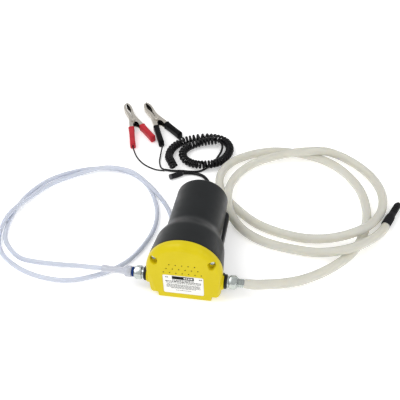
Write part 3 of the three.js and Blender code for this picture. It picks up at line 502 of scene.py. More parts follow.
YELLOW = moulded_yellow()
PIT_PAINTED_SHADE = pit_painted_shade()
BLACK = moulded_black()
COLLAR_BLACK = moulded_black("collar_plastic", (0.008, 0.009, 0.010), 0.32)
ZINC = plated("zinc_steel", (0.46, 0.50, 0.49), (0.55, 0.59, 0.57), 0.12, 0.14, (1, 6, 6))
NICKEL = plated("nickel_steel", (0.66, 0.62, 0.56), (0.60, 0.56, 0.50), 0.2, 0.14, (6, 6, 1))
# Near-black painted shade for the faces inside the clamp channels, in place of the nickel.
CHANNEL_PAINTED_SHADE = plated("nickel_in_shade", (0.03, 0.028, 0.026), (0.02, 0.019, 0.018), 0.5, 0.1, (1, 1, 1))
SPRING = plated("spring_steel", (0.035, 0.035, 0.038), (0.06, 0.06, 0.06), 0.3, 0.1, (1, 1, 1))
GEAR_STEEL = plated("gear_steel", (0.45, 0.47, 0.49), (0.38, 0.39, 0.41), 0.25, 0.15, (1, 12, 1))
ALUMINIUM = plated("cast_aluminium", (0.55, 0.56, 0.57), (0.46, 0.47, 0.48), 0.42, 0.15, (1, 1, 1))
BRONZE = plated("bronze", (0.50, 0.33, 0.15), (0.42, 0.27, 0.11), 0.35, 0.15, (1, 1, 1))
COPPER = plated("copper", (0.62, 0.26, 0.12), (0.48, 0.19, 0.08), 0.3, 0.15, (1, 12, 1))
MAGNET = rubber("magnet", (0.045, 0.045, 0.05), 0.6)
RUBBER = rubber("black_rubber", (0.014, 0.014, 0.016), 0.5)
GREY_END = rubber("sleeve_end", (0.09, 0.09, 0.095), 0.45)
BLUE = rubber("blue_rubber", (0.012, 0.045, 0.20), 0.35)
RED_SLEEVE = rubber("red_sleeve", (0.47, 0.030, 0.042), 0.32)
BLACK_SLEEVE = rubber("black_sleeve", (0.004, 0.004, 0.005), 0.32)
HOSE_PLASTIC = cloudy_hose()
TUBE_PLASTIC = clear_plastic("clear_tube", (0.86, 0.90, 0.99), (0.83, 0.87, 0.98), 0.4)
FUNNEL_PLASTIC = clear_plastic("clear_funnel", (0.84, 0.86, 0.93), (0.81, 0.83, 0.91), 0.5)
CORD_BLACK = cord_jacket()
LABEL_FILM = printed_film()
INK_BLACK = ink("ink_black", (0.004, 0.004, 0.005))
INK_GREY = ink("ink_grey", (0.10, 0.10, 0.105))
INK_PALE = ink("ink_pale", (0.75, 0.75, 0.75))

# ---------- cords: the routes of the CAD, in metres ----------
def laid(height, points):
    """Route whose points lie at the height, apart from those that have a height of their own."""
    return [(*point, height)[:3] for point in points]


HOSE_ROUTE = laid(0.0065, [
    (0.0711, -0.0564, 0.0245), (0.076, -0.0564, 0.0243), (0.085, -0.0546, 0.0226),
    (0.098, -0.048, 0.0182), (0.116, -0.0382, 0.0118), (0.137, -0.026, 0.0074), (0.162, -0.0086),
    (0.184, 0.0126), (0.201, 0.037), (0.211, 0.066), (0.215, 0.102), (0.208, 0.145),
    (0.194, 0.173), (0.173, 0.198), (0.148, 0.214), (0.114, 0.223), (0.077, 0.223), (0.045, 0.21),
    (0.023, 0.192), (0.011, 0.169), (0.01, 0.142), (0.021, 0.115), (0.045, 0.088), (0.072, 0.066),
    (0.104, 0.053), (0.14, 0.046, 0.008), (0.173, 0.046, 0.014), (0.204, 0.058, 0.0191),
    (0.224, 0.086, 0.012), (0.235, 0.117), (0.235, 0.148), (0.22, 0.184), (0.189, 0.213, 0.009),
    (0.155, 0.22, 0.0165), (0.118, 0.211, 0.0191), (0.086, 0.206, 0.0125), (0.057, 0.195),
    (0.037, 0.17, 0.0068), (0.028, 0.138, 0.0115), (0.028, 0.104, 0.0191), (0.032, 0.084, 0.013),
    (0.042, 0.068, 0.007), (0.06, 0.048), (0.088, 0.033), (0.122, 0.026), (0.158, 0.02, 0.0115),
    (0.192, 0.024, 0.0191), (0.219, 0.05, 0.0125), (0.236, 0.077, 0.0066), (0.2455, 0.102),
])
TUBE_ROUTE = laid(0.0032, [
    (-0.1041, -0.0564, 0.0245), (-0.11, -0.0564, 0.0244), (-0.118, -0.0554, 0.023),
    (-0.132, -0.051, 0.018), (-0.148, -0.0455, 0.0115), (-0.164, -0.0416, 0.0062),
    (-0.18, -0.0396, 0.0038), (-0.197, -0.039), (-0.222, -0.0355), (-0.243, -0.02),
    (-0.256, -0.002), (-0.2625, 0.035), (-0.257, 0.08), (-0.236, 0.119), (-0.198, 0.146),
    (-0.16, 0.156), (-0.124, 0.151), (-0.094, 0.129), (-0.074, 0.097), (-0.064, 0.066),
    (-0.0635, 0.033), (-0.077, -0.011), (-0.092, -0.032), (-0.121, -0.053), (-0.152, -0.064),
    (-0.19, -0.062), (-0.223, -0.05), (-0.251, -0.029), (-0.264, -0.004, 0.0046),
    (-0.264, 0.034, 0.0097), (-0.25, 0.077, 0.005), (-0.229, 0.112), (-0.196, 0.138, 0.004),
    (-0.16, 0.15, 0.0097), (-0.122, 0.147, 0.0097), (-0.091, 0.124, 0.0097),
    (-0.067, 0.102, 0.0044), (-0.051, 0.08), (-0.0425, 0.06), (-0.0405, 0.036),
])
LEAD_ROUTE = laid(0.0027, [
    (-0.002, 0.0893, 0.024), (-0.002, 0.094, 0.024), (-0.002, 0.104, 0.02), (-0.001, 0.117, 0.01),
    (-0.002, 0.131, 0.004), (-0.007, 0.146), (-0.016, 0.157), (-0.028, 0.1616),
    (-0.038, 0.1612, 0.0031), (-0.0461, 0.1585, 0.004),
])
CURL_ROUTE = laid(0.0067, [
    (-0.0585, 0.1605, 0.0113), (-0.066, 0.174, 0.0108), (-0.0735, 0.192), (-0.072, 0.211),
    (-0.06, 0.229), (-0.036, 0.242), (-0.012, 0.2445), (0.005, 0.237), (0.0135, 0.221),
    (0.012, 0.205), (0.005, 0.19, 0.0072), (-0.006, 0.1785, 0.0098), (-0.019, 0.1735, 0.0108),
    (-0.035, 0.177, 0.0084), (-0.048, 0.187), (-0.0545, 0.201), (-0.05, 0.216),
    (-0.036, 0.227, 0.0076), (-0.022, 0.2305, 0.01), (-0.009, 0.231, 0.0125),
])
TAIL_ROUTE = laid(0.0019, [
    (-0.0082, 0.231, 0.0127), (-0.005, 0.231, 0.0126), (-0.0005, 0.2285, 0.0102),
    (0.0018, 0.2245, 0.007), (0.001, 0.217, 0.0032), (-0.002, 0.206), (-0.005, 0.195),
    (-0.009, 0.1855), (-0.0155, 0.176), (-0.024, 0.1684), (-0.037, 0.166), (-0.05, 0.166),
    (-0.062, 0.1645), (-0.074, 0.1655),
])
RED_WIRE_START = laid(0.0012, [
    (-0.0746, 0.1641), (-0.088, 0.165), (-0.107, 0.174), (-0.122, 0.188, 0.003),
])
BLACK_WIRE_START = laid(0.0012, [
    (-0.0746, 0.1669), (-0.08, 0.169), (-0.086, 0.182), (-0.088, 0.2, 0.003),
])


def handle_y(x):
    return HANDLE_MID - x * HANDLE_SLOPE


def sleeve_length(kind):
    return (SLEEVE_FROM - HANDLE_ENDS[kind]) / cos(atan(HANDLE_SLOPE)) + SLEEVE_CLOSED_END


def wire_route(start, colour):
    """Route of a clamp's wire, ending inside the closed end of the fixed handle's sleeve."""
    pivot, heading = CLAMPS[colour]
    slope = atan(HANDLE_SLOPE)
    route = list(start)
    for beyond in (0.005, GAP, -0.0045):
        reach = sleeve_length("fixed") + beyond
        x = SLEEVE_FROM - reach * cos(slope)
        y = handle_y(SLEEVE_FROM) + reach * sin(slope)
        turn = radians(heading)
        route.append((pivot[0] + x * cos(turn) - y * sin(turn),
                      pivot[1] + x * sin(turn) + y * cos(turn), CLAMP_MID_Z))
    return route


def curled(route, coil_radius, points_per_turn=16):
    """Helix about a route. The turns stand further apart where the cord has been pulled open."""
    line = spline_through(route, 0.0005)
    tight = 0.0052  # pitch of the unstretched turns
    stretched = [(0.107, 0.012, 0.4), (0.262, 0.012, 0.35), (0.005, 0.008, 0.35)]  # place, reach, share
    helix = []
    angle = -pi / 2
    travelled = 0.0
    previous = line[0]
    due = 0.0
    for point, _, side, over in frames_along(line):
        step = (point - previous).length
        travelled += step
        previous = point
        opening = sum(share * exp(-(((travelled - at) / width) ** 2)) for at, width, share in stretched)
        angle += 2 * pi * step / (tight * (1 + opening))
        if angle >= due:
            wobble = 1 + 0.03 * sin(travelled * 610) + 0.02 * sin(travelled * 253 + 1)
            reach = coil_radius * min(wobble, 1.0)
            helix.append(point + (side * cos(angle) + over * sin(angle)) * reach)
            due = angle + 2 * pi / points_per_turn
    return helix


def make_cords():
    """Each cord's line and piece, by its CAD node."""
    line = spline_through(HOSE_ROUTE, HOSE_STEP)
    plug_start = length_of(line) - PLUG_LENGTH

    def hose_radius(travelled):
        at_nut = 0.0004 * (1 - ease(0.001, 0.008, travelled))
        in_plug = 0.001 * ease(plug_start - 0.001, plug_start + 0.002, travelled)
        return HOSE_D / 2 - at_nut - in_plug

    hose = hollow_tube("thick_hose_look", line, hose_radius, lambda travelled: HOSE_BORE_R, HOSE_PLASTIC, 28)
    attach(hose)
    made = {"thick_hose": (line, hose)}
    line = spline_through(TUBE_ROUTE, HOSE_STEP)
    tube = hollow_tube(
        "thin_tube_look", line, lambda travelled: TUBE_D / 2, lambda travelled: TUBE_BORE_R, TUBE_PLASTIC, 18,
    )
    attach(tube)
    made["thin_tube"] = (line, tube)
    for node, line, diameter, sides in (
        ("motor_lead", spline_through(LEAD_ROUTE, CORD_STEP), LEAD_D, 6),
        ("curly_cord", curled(CURL_ROUTE, (CURL_D - CURL_WIRE_D) / 2), CURL_WIRE_D, 3),
        ("tail_cord", spline_through(TAIL_ROUTE, CORD_STEP), TAIL_D, 4),
        ("red_wire", spline_through(wire_route(RED_WIRE_START, "red"), CORD_STEP), WIRE_D, 4),
        ("black_wire", spline_through(wire_route(BLACK_WIRE_START, "black"), CORD_STEP), WIRE_D, 4),
    ):
        cord = round_cord(f"{node}_look", line, diameter, CORD_BLACK, sides)
        attach(cord)
        made[node] = (line, cord)
    return made


add_camera()
cords = make_cords()


# ---------- front cap ----------
CAP_BACK = SEAM_Y - GAP / 2
EAR_CORNER = 0.0025
FOOT_EDGE = 0.0008
FOOT_FILLET = 0.0016
SIDE_NARROWING = 0.0026
RIM_DEPTH_TOP = 0.0072
RIM_DEPTH_SIDE = 0.0032
LABEL_LEFT, LABEL_RIGHT, LABEL_BOTTOM, LABEL_TOP = -0.025, 0.024, 0.0085, 0.0395
LABEL_DEEP = 0.0006
LABEL_CORNER = 0.0022


def corner_arc(x, z, radius, start, end, steps=5):
    """Points of an arc about (x, z), angles in degrees."""
    return [
        (x + radius * cos(a), z + radius * sin(a))
        for a in (radians(start + (end - start) * i / steps) for i in range(steps + 1))
    ]


def rounded_rectangle(left, right, low, high, corner, first, steps):
    """Points about a rectangle with round corners, from the corner that begins at the first angle."""
    outline = []
    for start in range(first, first + 360, 90):
        x = right - corner if start % 360 in (0, 270) else left + corner
        z = high - corner if start % 360 in (0, 90) else low + corner
        outline += corner_arc(x, z, corner, start, start + 90, steps)
    return outline


def foot_and_ear(foot_half, foot_z, side, ear_z):
    """Right-hand part of an outline: the foot's edge and the ear at the lower end of the side wall."""
    outline = [(foot_half - FOOT_EDGE, foot_z)]
    outline += corner_arc(foot_half - FOOT_EDGE, foot_z + FOOT_EDGE, FOOT_EDGE, -90, 0, 3)[1:]
    outline += corner_arc(foot_half + FOOT_FILLET, ear_z - FOOT_FILLET, FOOT_FILLET, 180, 90, 4)
    return outline + corner_arc(side - EAR_CORNER, ear_z + EAR_CORNER, EAR_CORNER, -90, -4, 6)


def drum_outline(radius, edge, foot_lift, steps=96):
    """Half-round top, leaning side walls, ears and foot, anticlockwise from the right ear."""
    side = radius - SIDE_NARROWING - edge(0)
    half = foot_and_ear(FOOT_HALF - foot_lift, foot_lift, side, FOOT_Z + foot_lift)
    low_x, low_z = half[-1]
    for i in range(1, 8):
        share = i / 8
        half.append((low_x + (radius - edge(0) - low_x) * share, low_z + (AXIS_Z - low_z) * share))
    for i in range(steps // 2):
        angle = pi * i / steps
        r = radius - edge(sin(angle))
        half.append((r * cos(angle), AXIS_Z + r * sin(angle)))
    top = [(0.0, AXIS_Z + radius - edge(1))]
    return half + top + [(-x, z) for x, z in reversed(half)]


def port_boss(side, front):
    """Half of the round boss about a port, in front of the joint or behind it."""
    near = CAP_BACK if front else SEAM_Y + GAP / 2
    turn = -1 if front else 1
    sections = []
    for x, radius in ((DRUM_R - 0.008, PORT_BOSS_R), (PORT_BOSS_END - 0.0012, PORT_BOSS_R),
                      (PORT_BOSS_END - 0.0004, PORT_BOSS_R - 0.0004), (PORT_BOSS_END, PORT_BOSS_R - 0.0012)):
        section = []
        for i in range(25):
            angle = pi * (i / 24 - 0.5)
            y = SEAM_Y + turn * radius * cos(angle)
            y = min(y, near) if front else max(y, near)
            section.append((side * x, y, PORT_Z + radius * sin(angle)))
        sections.append(section)
    return loft("boss", sections)


def rod(radius, start, end, origin, direction, segments=48):
    profile = [(0, start), (radius, start), (radius, end), (0, end)]
    return turned("rod", profile, origin, direction, None, segments)


def port_bore():
    return rod(PORT_R + 0.0005, -0.07, 0.07, Vector((0, SEAM_Y, PORT_Z)), X_AXIS)


def screw_column(side, radius, start, end):
    return rod(radius, start, end, Vector((side * SCREW_X, 0, SCREW_Z)), Y_AXIS, 40)


def cap_hollow():
    """Space inside the cap, flat at the bottom and with a post around each screw."""
    sections = []
    for y, inset in ((FRONT + WALL, 0.0066), (FRONT + WALL + 0.002, 0.0036), (FRONT + WALL + 0.005, WALL),
                     (SEAM_Y + 0.001, WALL)):
        outline = drum_outline(DRUM_R - inset, lambda height: 0, 0, 48)
        sections.append([(x, y, max(z, FOOT_Z + WALL)) for x, z in outline])
    hollow = loft("hollow", sections)
    for side in (-1, 1):
        cut(hollow, screw_column(side, CAP_POST_R, FRONT, SEAM_Y + 0.002))
        wall = loft("pocket_wall", [pocket_outline(side, y, POCKET_WALL) for y in (FRONT, SCREW_SEAT_Y)])
        cut(hollow, wall)
    return hollow


def pocket_outline(side, y, grow):
    """Teardrop around a screw: round at the screw, narrowing downwards."""
    outline = corner_arc(0, 0, SCREW_TOP_R + grow, -15, 195, 24)
    outline += corner_arc(-side * 0.001, -POCKET_LENGTH + 0.0024, 0.0024 + grow, 205, 335, 8)
    return [(side * SCREW_X + x, y, SCREW_Z + z) for x, z in outline]


def screw_pocket(side):
    """Teardrop pocket with a flared mouth."""
    sections = []
    for y, grow in ((SCREW_SEAT_Y, 0), (FRONT + 0.0012, 0.0001), (FRONT + 0.0005, 0.0003),
                    (FRONT, 0.0008), (FRONT - 0.001, 0.0016)):
        sections.append(pocket_outline(side, y, grow))
    return loft("pocket", sections)


def vent_pits():
    """Rows of small round pits in the cap's face, their insides coloured dark olive as painted shade."""
    rows = [(0.0574, -0.016, 0.0145, 5), (0.0506, -0.0198, 0.0181, 6), (0.044, -0.0235, 0.022, 7)]
    mouth_r, floor_r, depth = 0.0009, 0.0007, 0.0013
    profile = [(0, FRONT - 0.001), (mouth_r, FRONT - 0.001), (mouth_r, FRONT),
               (floor_r, FRONT + 0.0011), (0, FRONT + depth)]
    pits = []
    for z, left, right, count in rows:
        for i in range(count):
            x = left + (right - left) * i / (count - 1)
            # Each pit wears the dark olive painted shade in place of the cap's yellow.
            pits.append(turned("pit", profile, Vector((x, 0, z)), Y_AXIS, PIT_PAINTED_SHADE, 12))
    return merge("pits", pits)


def front_cap():
    sections = []
    rim_steps = 14
    fullness = 1.55
    for i in range(rim_steps + 1):
        angle = (pi / 2) * i / rim_steps
        depth = 1 - sin(pi / 2 - angle) ** (2 / fullness)
        share = 1 - sin(angle) ** (2 / fullness)
        y = FRONT + RIM_DEPTH_TOP * depth
        side = share * RIM_DEPTH_SIDE
        rise = share * (RIM_DEPTH_TOP - RIM_DEPTH_SIDE)
        outline = drum_outline(DRUM_R, lambda height, a=side, b=rise: a + b * height, share * 0.0008)
        sections.append([(x, y, z) for x, z in outline])
    for y, inset in ((CAP_BACK - 0.0005, 0), (CAP_BACK - 0.00015, 0.00012), (CAP_BACK, 0.0004)):
        sections.append([(x, y, z) for x, z in drum_outline(DRUM_R - inset, lambda height: 0, 0)])
    cap = loft("front_cap_look", sections, YELLOW)
    raise_pads(cap)
    for side in (-1, 1):
        combine(cap, port_boss(side, True), "UNION")
    cut(cap, cap_hollow())
    cut(cap, port_bore())
    for side in (-1, 1):
        cut(cap, screw_pocket(side))
        cut(cap, screw_column(side, SCREW_HOLE_R, FRONT, SEAM_Y + 0.002))
    cut(cap, label_plate("recess", GAP, FRONT - 0.001, FRONT + LABEL_DEEP + GAP, None))
    cut(cap, vent_pits())
    fill_cut_faces(cap, YELLOW)
    smooth(cap, 32)
    attach(cap)


def raise_pads(cap):
    """Two soft pads on the cap's rounded rim."""
    pads = [(90, 5.5), (62, 5.0)]  # place and half width round the rim, in degrees
    height = 0.0007
    for vertex in cap.data.vertices:
        x, y, z = vertex.co
        angle = degrees(atan2(z - AXIS_Z, x))
        lift = 0.0
        for at, half in pads:
            across = 1 - ease(half * 0.7, half * 1.3, abs(angle - at))
            along = ease(FRONT + 0.0005, FRONT + 0.002, y) * (1 - ease(SEAM_Y - 0.004, SEAM_Y - 0.002, y))
            lift = max(lift, across * along)
        if lift > 0:
            outwards = Vector((x, -0.5 * hypot(x, z - AXIS_Z), z - AXIS_Z)).normalized()
            vertex.co += outwards * lift * height


def label_plate(name, grow, start, end, material):
    outline = rounded_rectangle(LABEL_LEFT - grow, LABEL_RIGHT + grow, LABEL_BOTTOM - grow, LABEL_TOP + grow,
                                LABEL_CORNER + grow, -90, 5)
    return prism(name, outline, start, end, material)


def rating_label():
    """Film with a header bar and rows of plain dashes in place of print."""
    random.seed(7)
    plate = label_plate("plate", 0, FRONT + 0.00005, FRONT + LABEL_DEEP, LABEL_FILM)
    bits = [plate]
    ink_y = (FRONT, FRONT + 0.0001)
    middle = (LABEL_LEFT + LABEL_RIGHT) / 2
    bits.append(box_piece("header", (middle - 0.0132, middle + 0.0132), ink_y, (0.0333, 0.0385), INK_BLACK))
    over_ink = (FRONT - 0.00005, FRONT)
    for x, width in ((0.0010, 0.0021), (0.0038, 0.0014), (0.0060, 0.0023), (0.0091, 0.0024)):
        bits.append(box_piece("mark", (middle + x, middle + x + width), over_ink, (0.0349, 0.0370), INK_PALE))
    rows = [  # height of the row's middle, height of its dashes, half width of the row, ink
        (0.0316, 0.0013, 0.013, INK_BLACK), (0.0292, 0.0014, 0.0215, INK_BLACK),
        (0.0268, 0.0010, 0.021, INK_GREY), (0.0240, 0.0008, 0.0195, INK_GREY),
        (0.0224, 0.0008, 0.0205, INK_GREY), (0.0208, 0.0008, 0.0205, INK_GREY),
        (0.0192, 0.0008, 0.0205, INK_GREY), (0.0176, 0.0008, 0.0150, INK_GREY),
        (0.0142, 0.0009, 0.0095, INK_GREY),
    ]
    for z, tall, half, look in rows:
        x = middle - half
        while x < middle + half:
            width = min(random.uniform(0.0008, 0.0034), middle + half - x)
            bits.append(box_piece("mark", (x, x + width), ink_y, (z - tall / 2, z + tall / 2), look))
            x += width + 0.0006
    for x, width in ((-0.0218, 0.0016), (-0.0198, 0.0014), (0.0190, 0.0016), (0.0210, 0.0014)):
        bits.append(box_piece("mark", (x, x + width), ink_y, (0.0352, 0.0366), INK_BLACK))
    label = merge("rating_label_look", bits)
    attach(label)


def cap_screw(side, word):
    """Pan-head screw with a cross recess, down in its pocket."""
    head = SCREW_HEAD_Y
    shank_r, root_r, pitch, length = 0.0016, 0.0013, 0.0009, 0.0165
    profile = [(0, head), (0.0016, head + 0.00005), (0.0026, head + 0.0003), (0.0033, head + 0.0008),
               (SCREW_HEAD_R, head + 0.0012), (SCREW_HEAD_R, SCREW_SEAT_Y), (shank_r, SCREW_SEAT_Y)]
    profile += repeated([(shank_r, 0), (root_r, pitch / 2)], SCREW_SEAT_Y + 0.0008, pitch, 14)
    profile.append((0, SCREW_SEAT_Y + length))
    centre = Vector((side * SCREW_X, 0, SCREW_Z))
    screw = turned("screw", profile, centre, Y_AXIS, ZINC, 40)
    for turn in (0.35, 0.35 + pi / 2):
        slot = box_piece("slot", (-0.0021, 0.0021), (head - 0.001, head + 0.0011), (-0.0004, 0.0004), ZINC)
        slot.data.transform(Matrix.Translation(centre) @ Matrix.Rotation(turn, 4, "Y"))
        cut(screw, slot)
    screw.name = f"{word}_cap_screw_look"
    smooth(screw, 30)
    attach(screw)


# ---------- motor housing ----------
BASE_TOP = 0.020
BASE_HALF = 0.035
HOUSING_FRONT = SEAM_Y + GAP / 2
GLAND_X, GLAND_Z, GLAND_R = -0.002, 0.024, 0.0045
LEDGE_CORNER = 0.0016
REAR_CORNER = 0.005
FOOT_REAR = REAR - 0.003


def housing_radius(y):
    """Radius of the round top at a distance along the pump."""
    points = [(HOUSING_FRONT, DRUM_R), (SHOULDER_Y, SHOULDER_R), (SHOULDER_Y + 0.0035, SHOULDER_R - 0.0012),
              (CONE_END_Y - 0.0045, BARREL_R + 0.0014), (CONE_END_Y, BARREL_R), (REAR, BARREL_REAR_R)]
    for (y0, r0), (y1, r1) in zip(points, points[1:]):
        if y <= y1:
            return r0 + (r1 - r0) * (y - y0) / (y1 - y0)
    return BARREL_REAR_R


def soft_radius(y):
    """Mean radius over a short reach, which rounds the cone's shoulders."""
    reach = 0.0022
    count = 9
    total = 0.0
    for i in range(count):
        offset = reach * (2 * i / (count - 1) - 1)
        total += housing_radius(min(max(y + offset, HOUSING_FRONT), REAR))
    return total / count


def housing_section(y, inset=0.0):
    """Outline at a distance along the pump. Behind the cone the walls become a ledge on a base block."""
    radius = soft_radius(y) - inset
    if y > REAR - REAR_FILLET:
        radius -= REAR_FILLET - sqrt(max(REAR_FILLET**2 - (y - REAR + REAR_FILLET) ** 2, 0))
    ledge = ease(CONE_END_Y - 0.006, CONE_END_Y + 0.001, y)
    base_half = BASE_HALF - inset
    if y > REAR - REAR_CORNER:
        base_half -= REAR_CORNER - sqrt(max(REAR_CORNER**2 - (y - REAR + REAR_CORNER) ** 2, 0))
    foot_half = FOOT_HALF - 0.002 * ease(SHOULDER_Y, CONE_END_Y, y)
    foot_z = FOOT_Z if y > FOOT_REAR + 1e-6 else 0.0
    side = radius - SIDE_NARROWING * (1 - ledge) * (1 - ease(HOUSING_FRONT, CONE_END_Y, y) * 0.4)
    side = side + (base_half - side) * ledge
    half = foot_and_ear(foot_half, foot_z, side, FOOT_Z)
    if foot_z:
        half[4:9] = [(foot_half + 0.0001 * i, foot_z) for i in range(5)]
    drop = asin(min((AXIS_Z - BASE_TOP - 0.001) / radius, 0.95)) * ledge
    arc_x = radius * cos(drop)
    arc_z = AXIS_Z - radius * sin(drop)
    ledge_z = BASE_TOP + 0.0005 * (1 - ledge)
    corner = corner_arc(side - LEDGE_CORNER, ledge_z - LEDGE_CORNER, LEDGE_CORNER, 0, 90, 5)
    low_x, low_z = half[-1]
    wall = []
    for i in range(6):
        share = (i + 1) / 7
        wall.append((low_x + (arc_x - low_x) * share, low_z + (arc_z - low_z) * share))
    half += [(w[0] + (c[0] - w[0]) * ledge, w[1] + (c[1] - w[1]) * ledge) for w, c in zip(wall, corner)]
    last_x, last_z = half[-1]
    half.append((last_x + (arc_x + 0.0006 * ledge - last_x) * 0.8, last_z + (arc_z - last_z) * 0.5))
    steps = 56
    for i in range(steps):
        angle = -drop + (pi / 2 + drop) * i / steps
        half.append((radius * cos(angle), AXIS_Z + radius * sin(angle)))
    outline = half + [(0.0, AXIS_Z + radius)] + [(-x, z) for x, z in reversed(half)]
    return [(x, y, z) for x, z in outline]


def housing_hollow():
    sections = []
    y = HOUSING_FRONT - 0.001
    while y < REAR - 0.0036:
        radius = housing_radius(max(y, HOUSING_FRONT)) - WALL
        section = []
        for i in range(96):
            angle = 2 * pi * (i + 0.5) / 96
            z = AXIS_Z + radius * sin(angle)
            section.append((radius * cos(angle), y, max(z, FOOT_Z + WALL)))
        sections.append(section)
        y += 0.0045
    hollow = loft("hollow", sections)
    for side in (-1, 1):
        cut(hollow, screw_column(side, HOUSING_POST_R, HOUSING_FRONT - 0.002, HOUSING_FRONT + 0.014))
    return hollow


def motor_housing():
    stations = [HOUSING_FRONT, HOUSING_FRONT + 0.00015, HOUSING_FRONT + 0.0005]
    y = HOUSING_FRONT + 0.002
    while y < REAR - REAR_CORNER:
        stations.append(y)
        y += 0.0015 if SHOULDER_Y - 0.004 < y < CONE_END_Y + 0.004 else 0.004
    fillet_steps = 10
    for i in range(fillet_steps + 1):
        stations.append(REAR - REAR_CORNER * (1 - sin(pi / 2 * i / fillet_steps)))
    stations += [FOOT_REAR, FOOT_REAR + 2e-6]
    stations = sorted(set(round(s, 7) for s in stations))
    edge = {0: 0.0004, 1: 0.00012}
    sections = [housing_section(y, edge.get(i, 0.0)) for i, y in enumerate(stations)]
    housing = loft("motor_housing_look", sections, BLACK)
    for side in (-1, 1):
        combine(housing, port_boss(side, False), "UNION")
    cut(housing, housing_hollow())
    cut(housing, port_bore())
    for side in (-1, 1):
        cut(housing, screw_column(side, SCREW_HOLE_R, HOUSING_FRONT - 0.002, HOUSING_FRONT + 0.012))
    cut(housing, rod(GLAND_R + GAP, REAR - 0.008, REAR + 0.002, Vector((GLAND_X, 0, GLAND_Z)), Y_AXIS))
    fill_cut_faces(housing, BLACK)
    smooth(housing, 34)
    attach(housing)


# ---------- ports ----------
NIPPLE_START, NIPPLE_END = 0.024, 0.058
COLLAR = (PORT_BOSS_END + GAP, 0.0504)
COLLAR_R = 0.0089
SHOULDER_RING_R = 0.0072
NUT_FLAT_R = 0.0077
TAIL_R = 0.0043
TAIL_BORE_R = 0.0024
STUB_R = 0.0058
RIGHT_TAIL_END = 0.0708
LEFT_TAIL_END = 0.0725
TAIL_FLANGE = (NIPPLE_END + GAP, NIPPLE_END + 0.002)
WASHER_SPAN = (0.0638, 0.0658)
WASHER_R = 0.0062
REDUCER_START = 0.0668


def port_piece(node, profile, side, material, slot, *shape):
    attach(turned_port(f"{node}_look", profile, side, material, *shape))


def port_collar(side, word):
    near, far = COLLAR
    profile = [(PORT_R + GAP, near), (COLLAR_R - 0.0004, near), (COLLAR_R, near + 0.0004),
               (COLLAR_R, far - 0.0007), (COLLAR_R - 0.0002, far - 0.0002), (COLLAR_R - 0.0007, far),
               (PORT_R + GAP, far)]
    port_piece(f"{word}_port_collar", profile, side, COLLAR_BLACK, "black_plastic", 64)


def port_nipple(side, word):
    """Threaded tube with a shoulder in front of the nut."""
    near, far = COLLAR[1] + GAP, NUT_START - GAP
    ring = SHOULDER_RING_R
    profile = [(PORT_BORE_R, NIPPLE_START), (PORT_R, NIPPLE_START), (PORT_R, near), (ring - 0.0003, near),
               (ring, near + 0.0003), (ring, far - 0.0003), (ring - 0.0003, far), (PORT_R, far)]
    turns = 4
    pitch = (NIPPLE_END - far - 0.0008) / turns
    profile += repeated([(PORT_R, 0), (PORT_R - 0.0006, 0.0005)], far + 0.0004, pitch, turns)
    profile += [(PORT_R, NIPPLE_END - 0.0003), (PORT_R - 0.0003, NIPPLE_END), (PORT_BORE_R, NIPPLE_END)]
    port_piece(f"{word}_port_nipple", profile, side, ZINC, "zinc_steel", 48, 25)


def union_nut(side, word):
    """Hexagonal nut, chamfered at both ends, with a turned groove and a bore for the hose tail."""
    corner_r = NUT_FLAT_R / cos(pi / 6)
    hexagon = [(corner_r * sin(pi / 3 * i), corner_r * cos(pi / 3 * i)) for i in range(6)]
    ends = [[(side * x, SEAM_Y + y, PORT_Z + z) for y, z in hexagon] for x in (NUT_START, NUT_END)]
    nut = loft(f"{word}_union_nut_look", ends, ZINC)
    chamfer = [(0, NUT_START), (NUT_FLAT_R + 0.0002, NUT_START), (corner_r + 0.0002, NUT_START + 0.0013),
               (corner_r + 0.0002, NUT_END - 0.0028), (NUT_FLAT_R - 0.0001, NUT_END - 0.0012),
               (NUT_FLAT_R - 0.0005, NUT_END - 0.0011), (NUT_FLAT_R - 0.0005, NUT_END - 0.0003),
               (NUT_FLAT_R - 0.0009, NUT_END), (0, NUT_END)]
    combine(nut, turned_port("chamfer", chamfer, side, ZINC, 72), "INTERSECT")
    wide = PORT_R + GAP
    narrow = TAIL_R + GAP
    step = TAIL_FLANGE[1] + GAP
    bore = [(0, NUT_START - 0.001), (wide + 0.0004, NUT_START - 0.001), (wide, NUT_START + 0.0006),
            (wide, step), (narrow, step), (narrow, NUT_END + 0.001), (0, NUT_END + 0.001)]
    cut(nut, turned_port("bore", bore, side, ZINC, 48))
    smooth(nut, 20)
    bevel(nut, 0.00018, 2, 25)
    attach(nut, f"{word}_nut")


def hose_tail(side, word):
    """Flanged tube: a ribbed stub up to the thick hose on the right, barbs inside the reducer on the left."""
    near, far = TAIL_FLANGE
    flange_r = PORT_R - 0.0002
    profile = [(TAIL_BORE_R, near), (flange_r, near), (flange_r, far), (TAIL_R, far), (TAIL_R, NUT_END + GAP)]
    end = RIGHT_TAIL_END if side > 0 else LEFT_TAIL_END
    crest, root = (STUB_R, STUB_R - 0.0008) if side > 0 else (TAIL_R - 0.0002, TAIL_R - 0.0009)
    ribs = 3
    pitch = (end - NUT_END - GAP) / ribs
    shape = [(root, 0), (crest, 0.0004), (crest, 0.0014), (root, 0.0018)]
    profile += repeated(shape, NUT_END + GAP, pitch, ribs)
    profile += [(root, end), (TAIL_BORE_R, end)]
    port_piece(f"{word}_hose_tail", profile, side, ZINC, "zinc_steel", 40, 25)


def blue_washer():
    near, far = WASHER_SPAN
    edge = WASHER_R - 0.0004
    profile = [(0.0045, near), (edge, near), (WASHER_R, near + 0.0004), (WASHER_R, far - 0.0004), (edge, far),
               (0.0045, far)]
    washer = turned_port("blue_washer_look", profile, -1, BLUE, 48)
    attach(washer)
    return washer


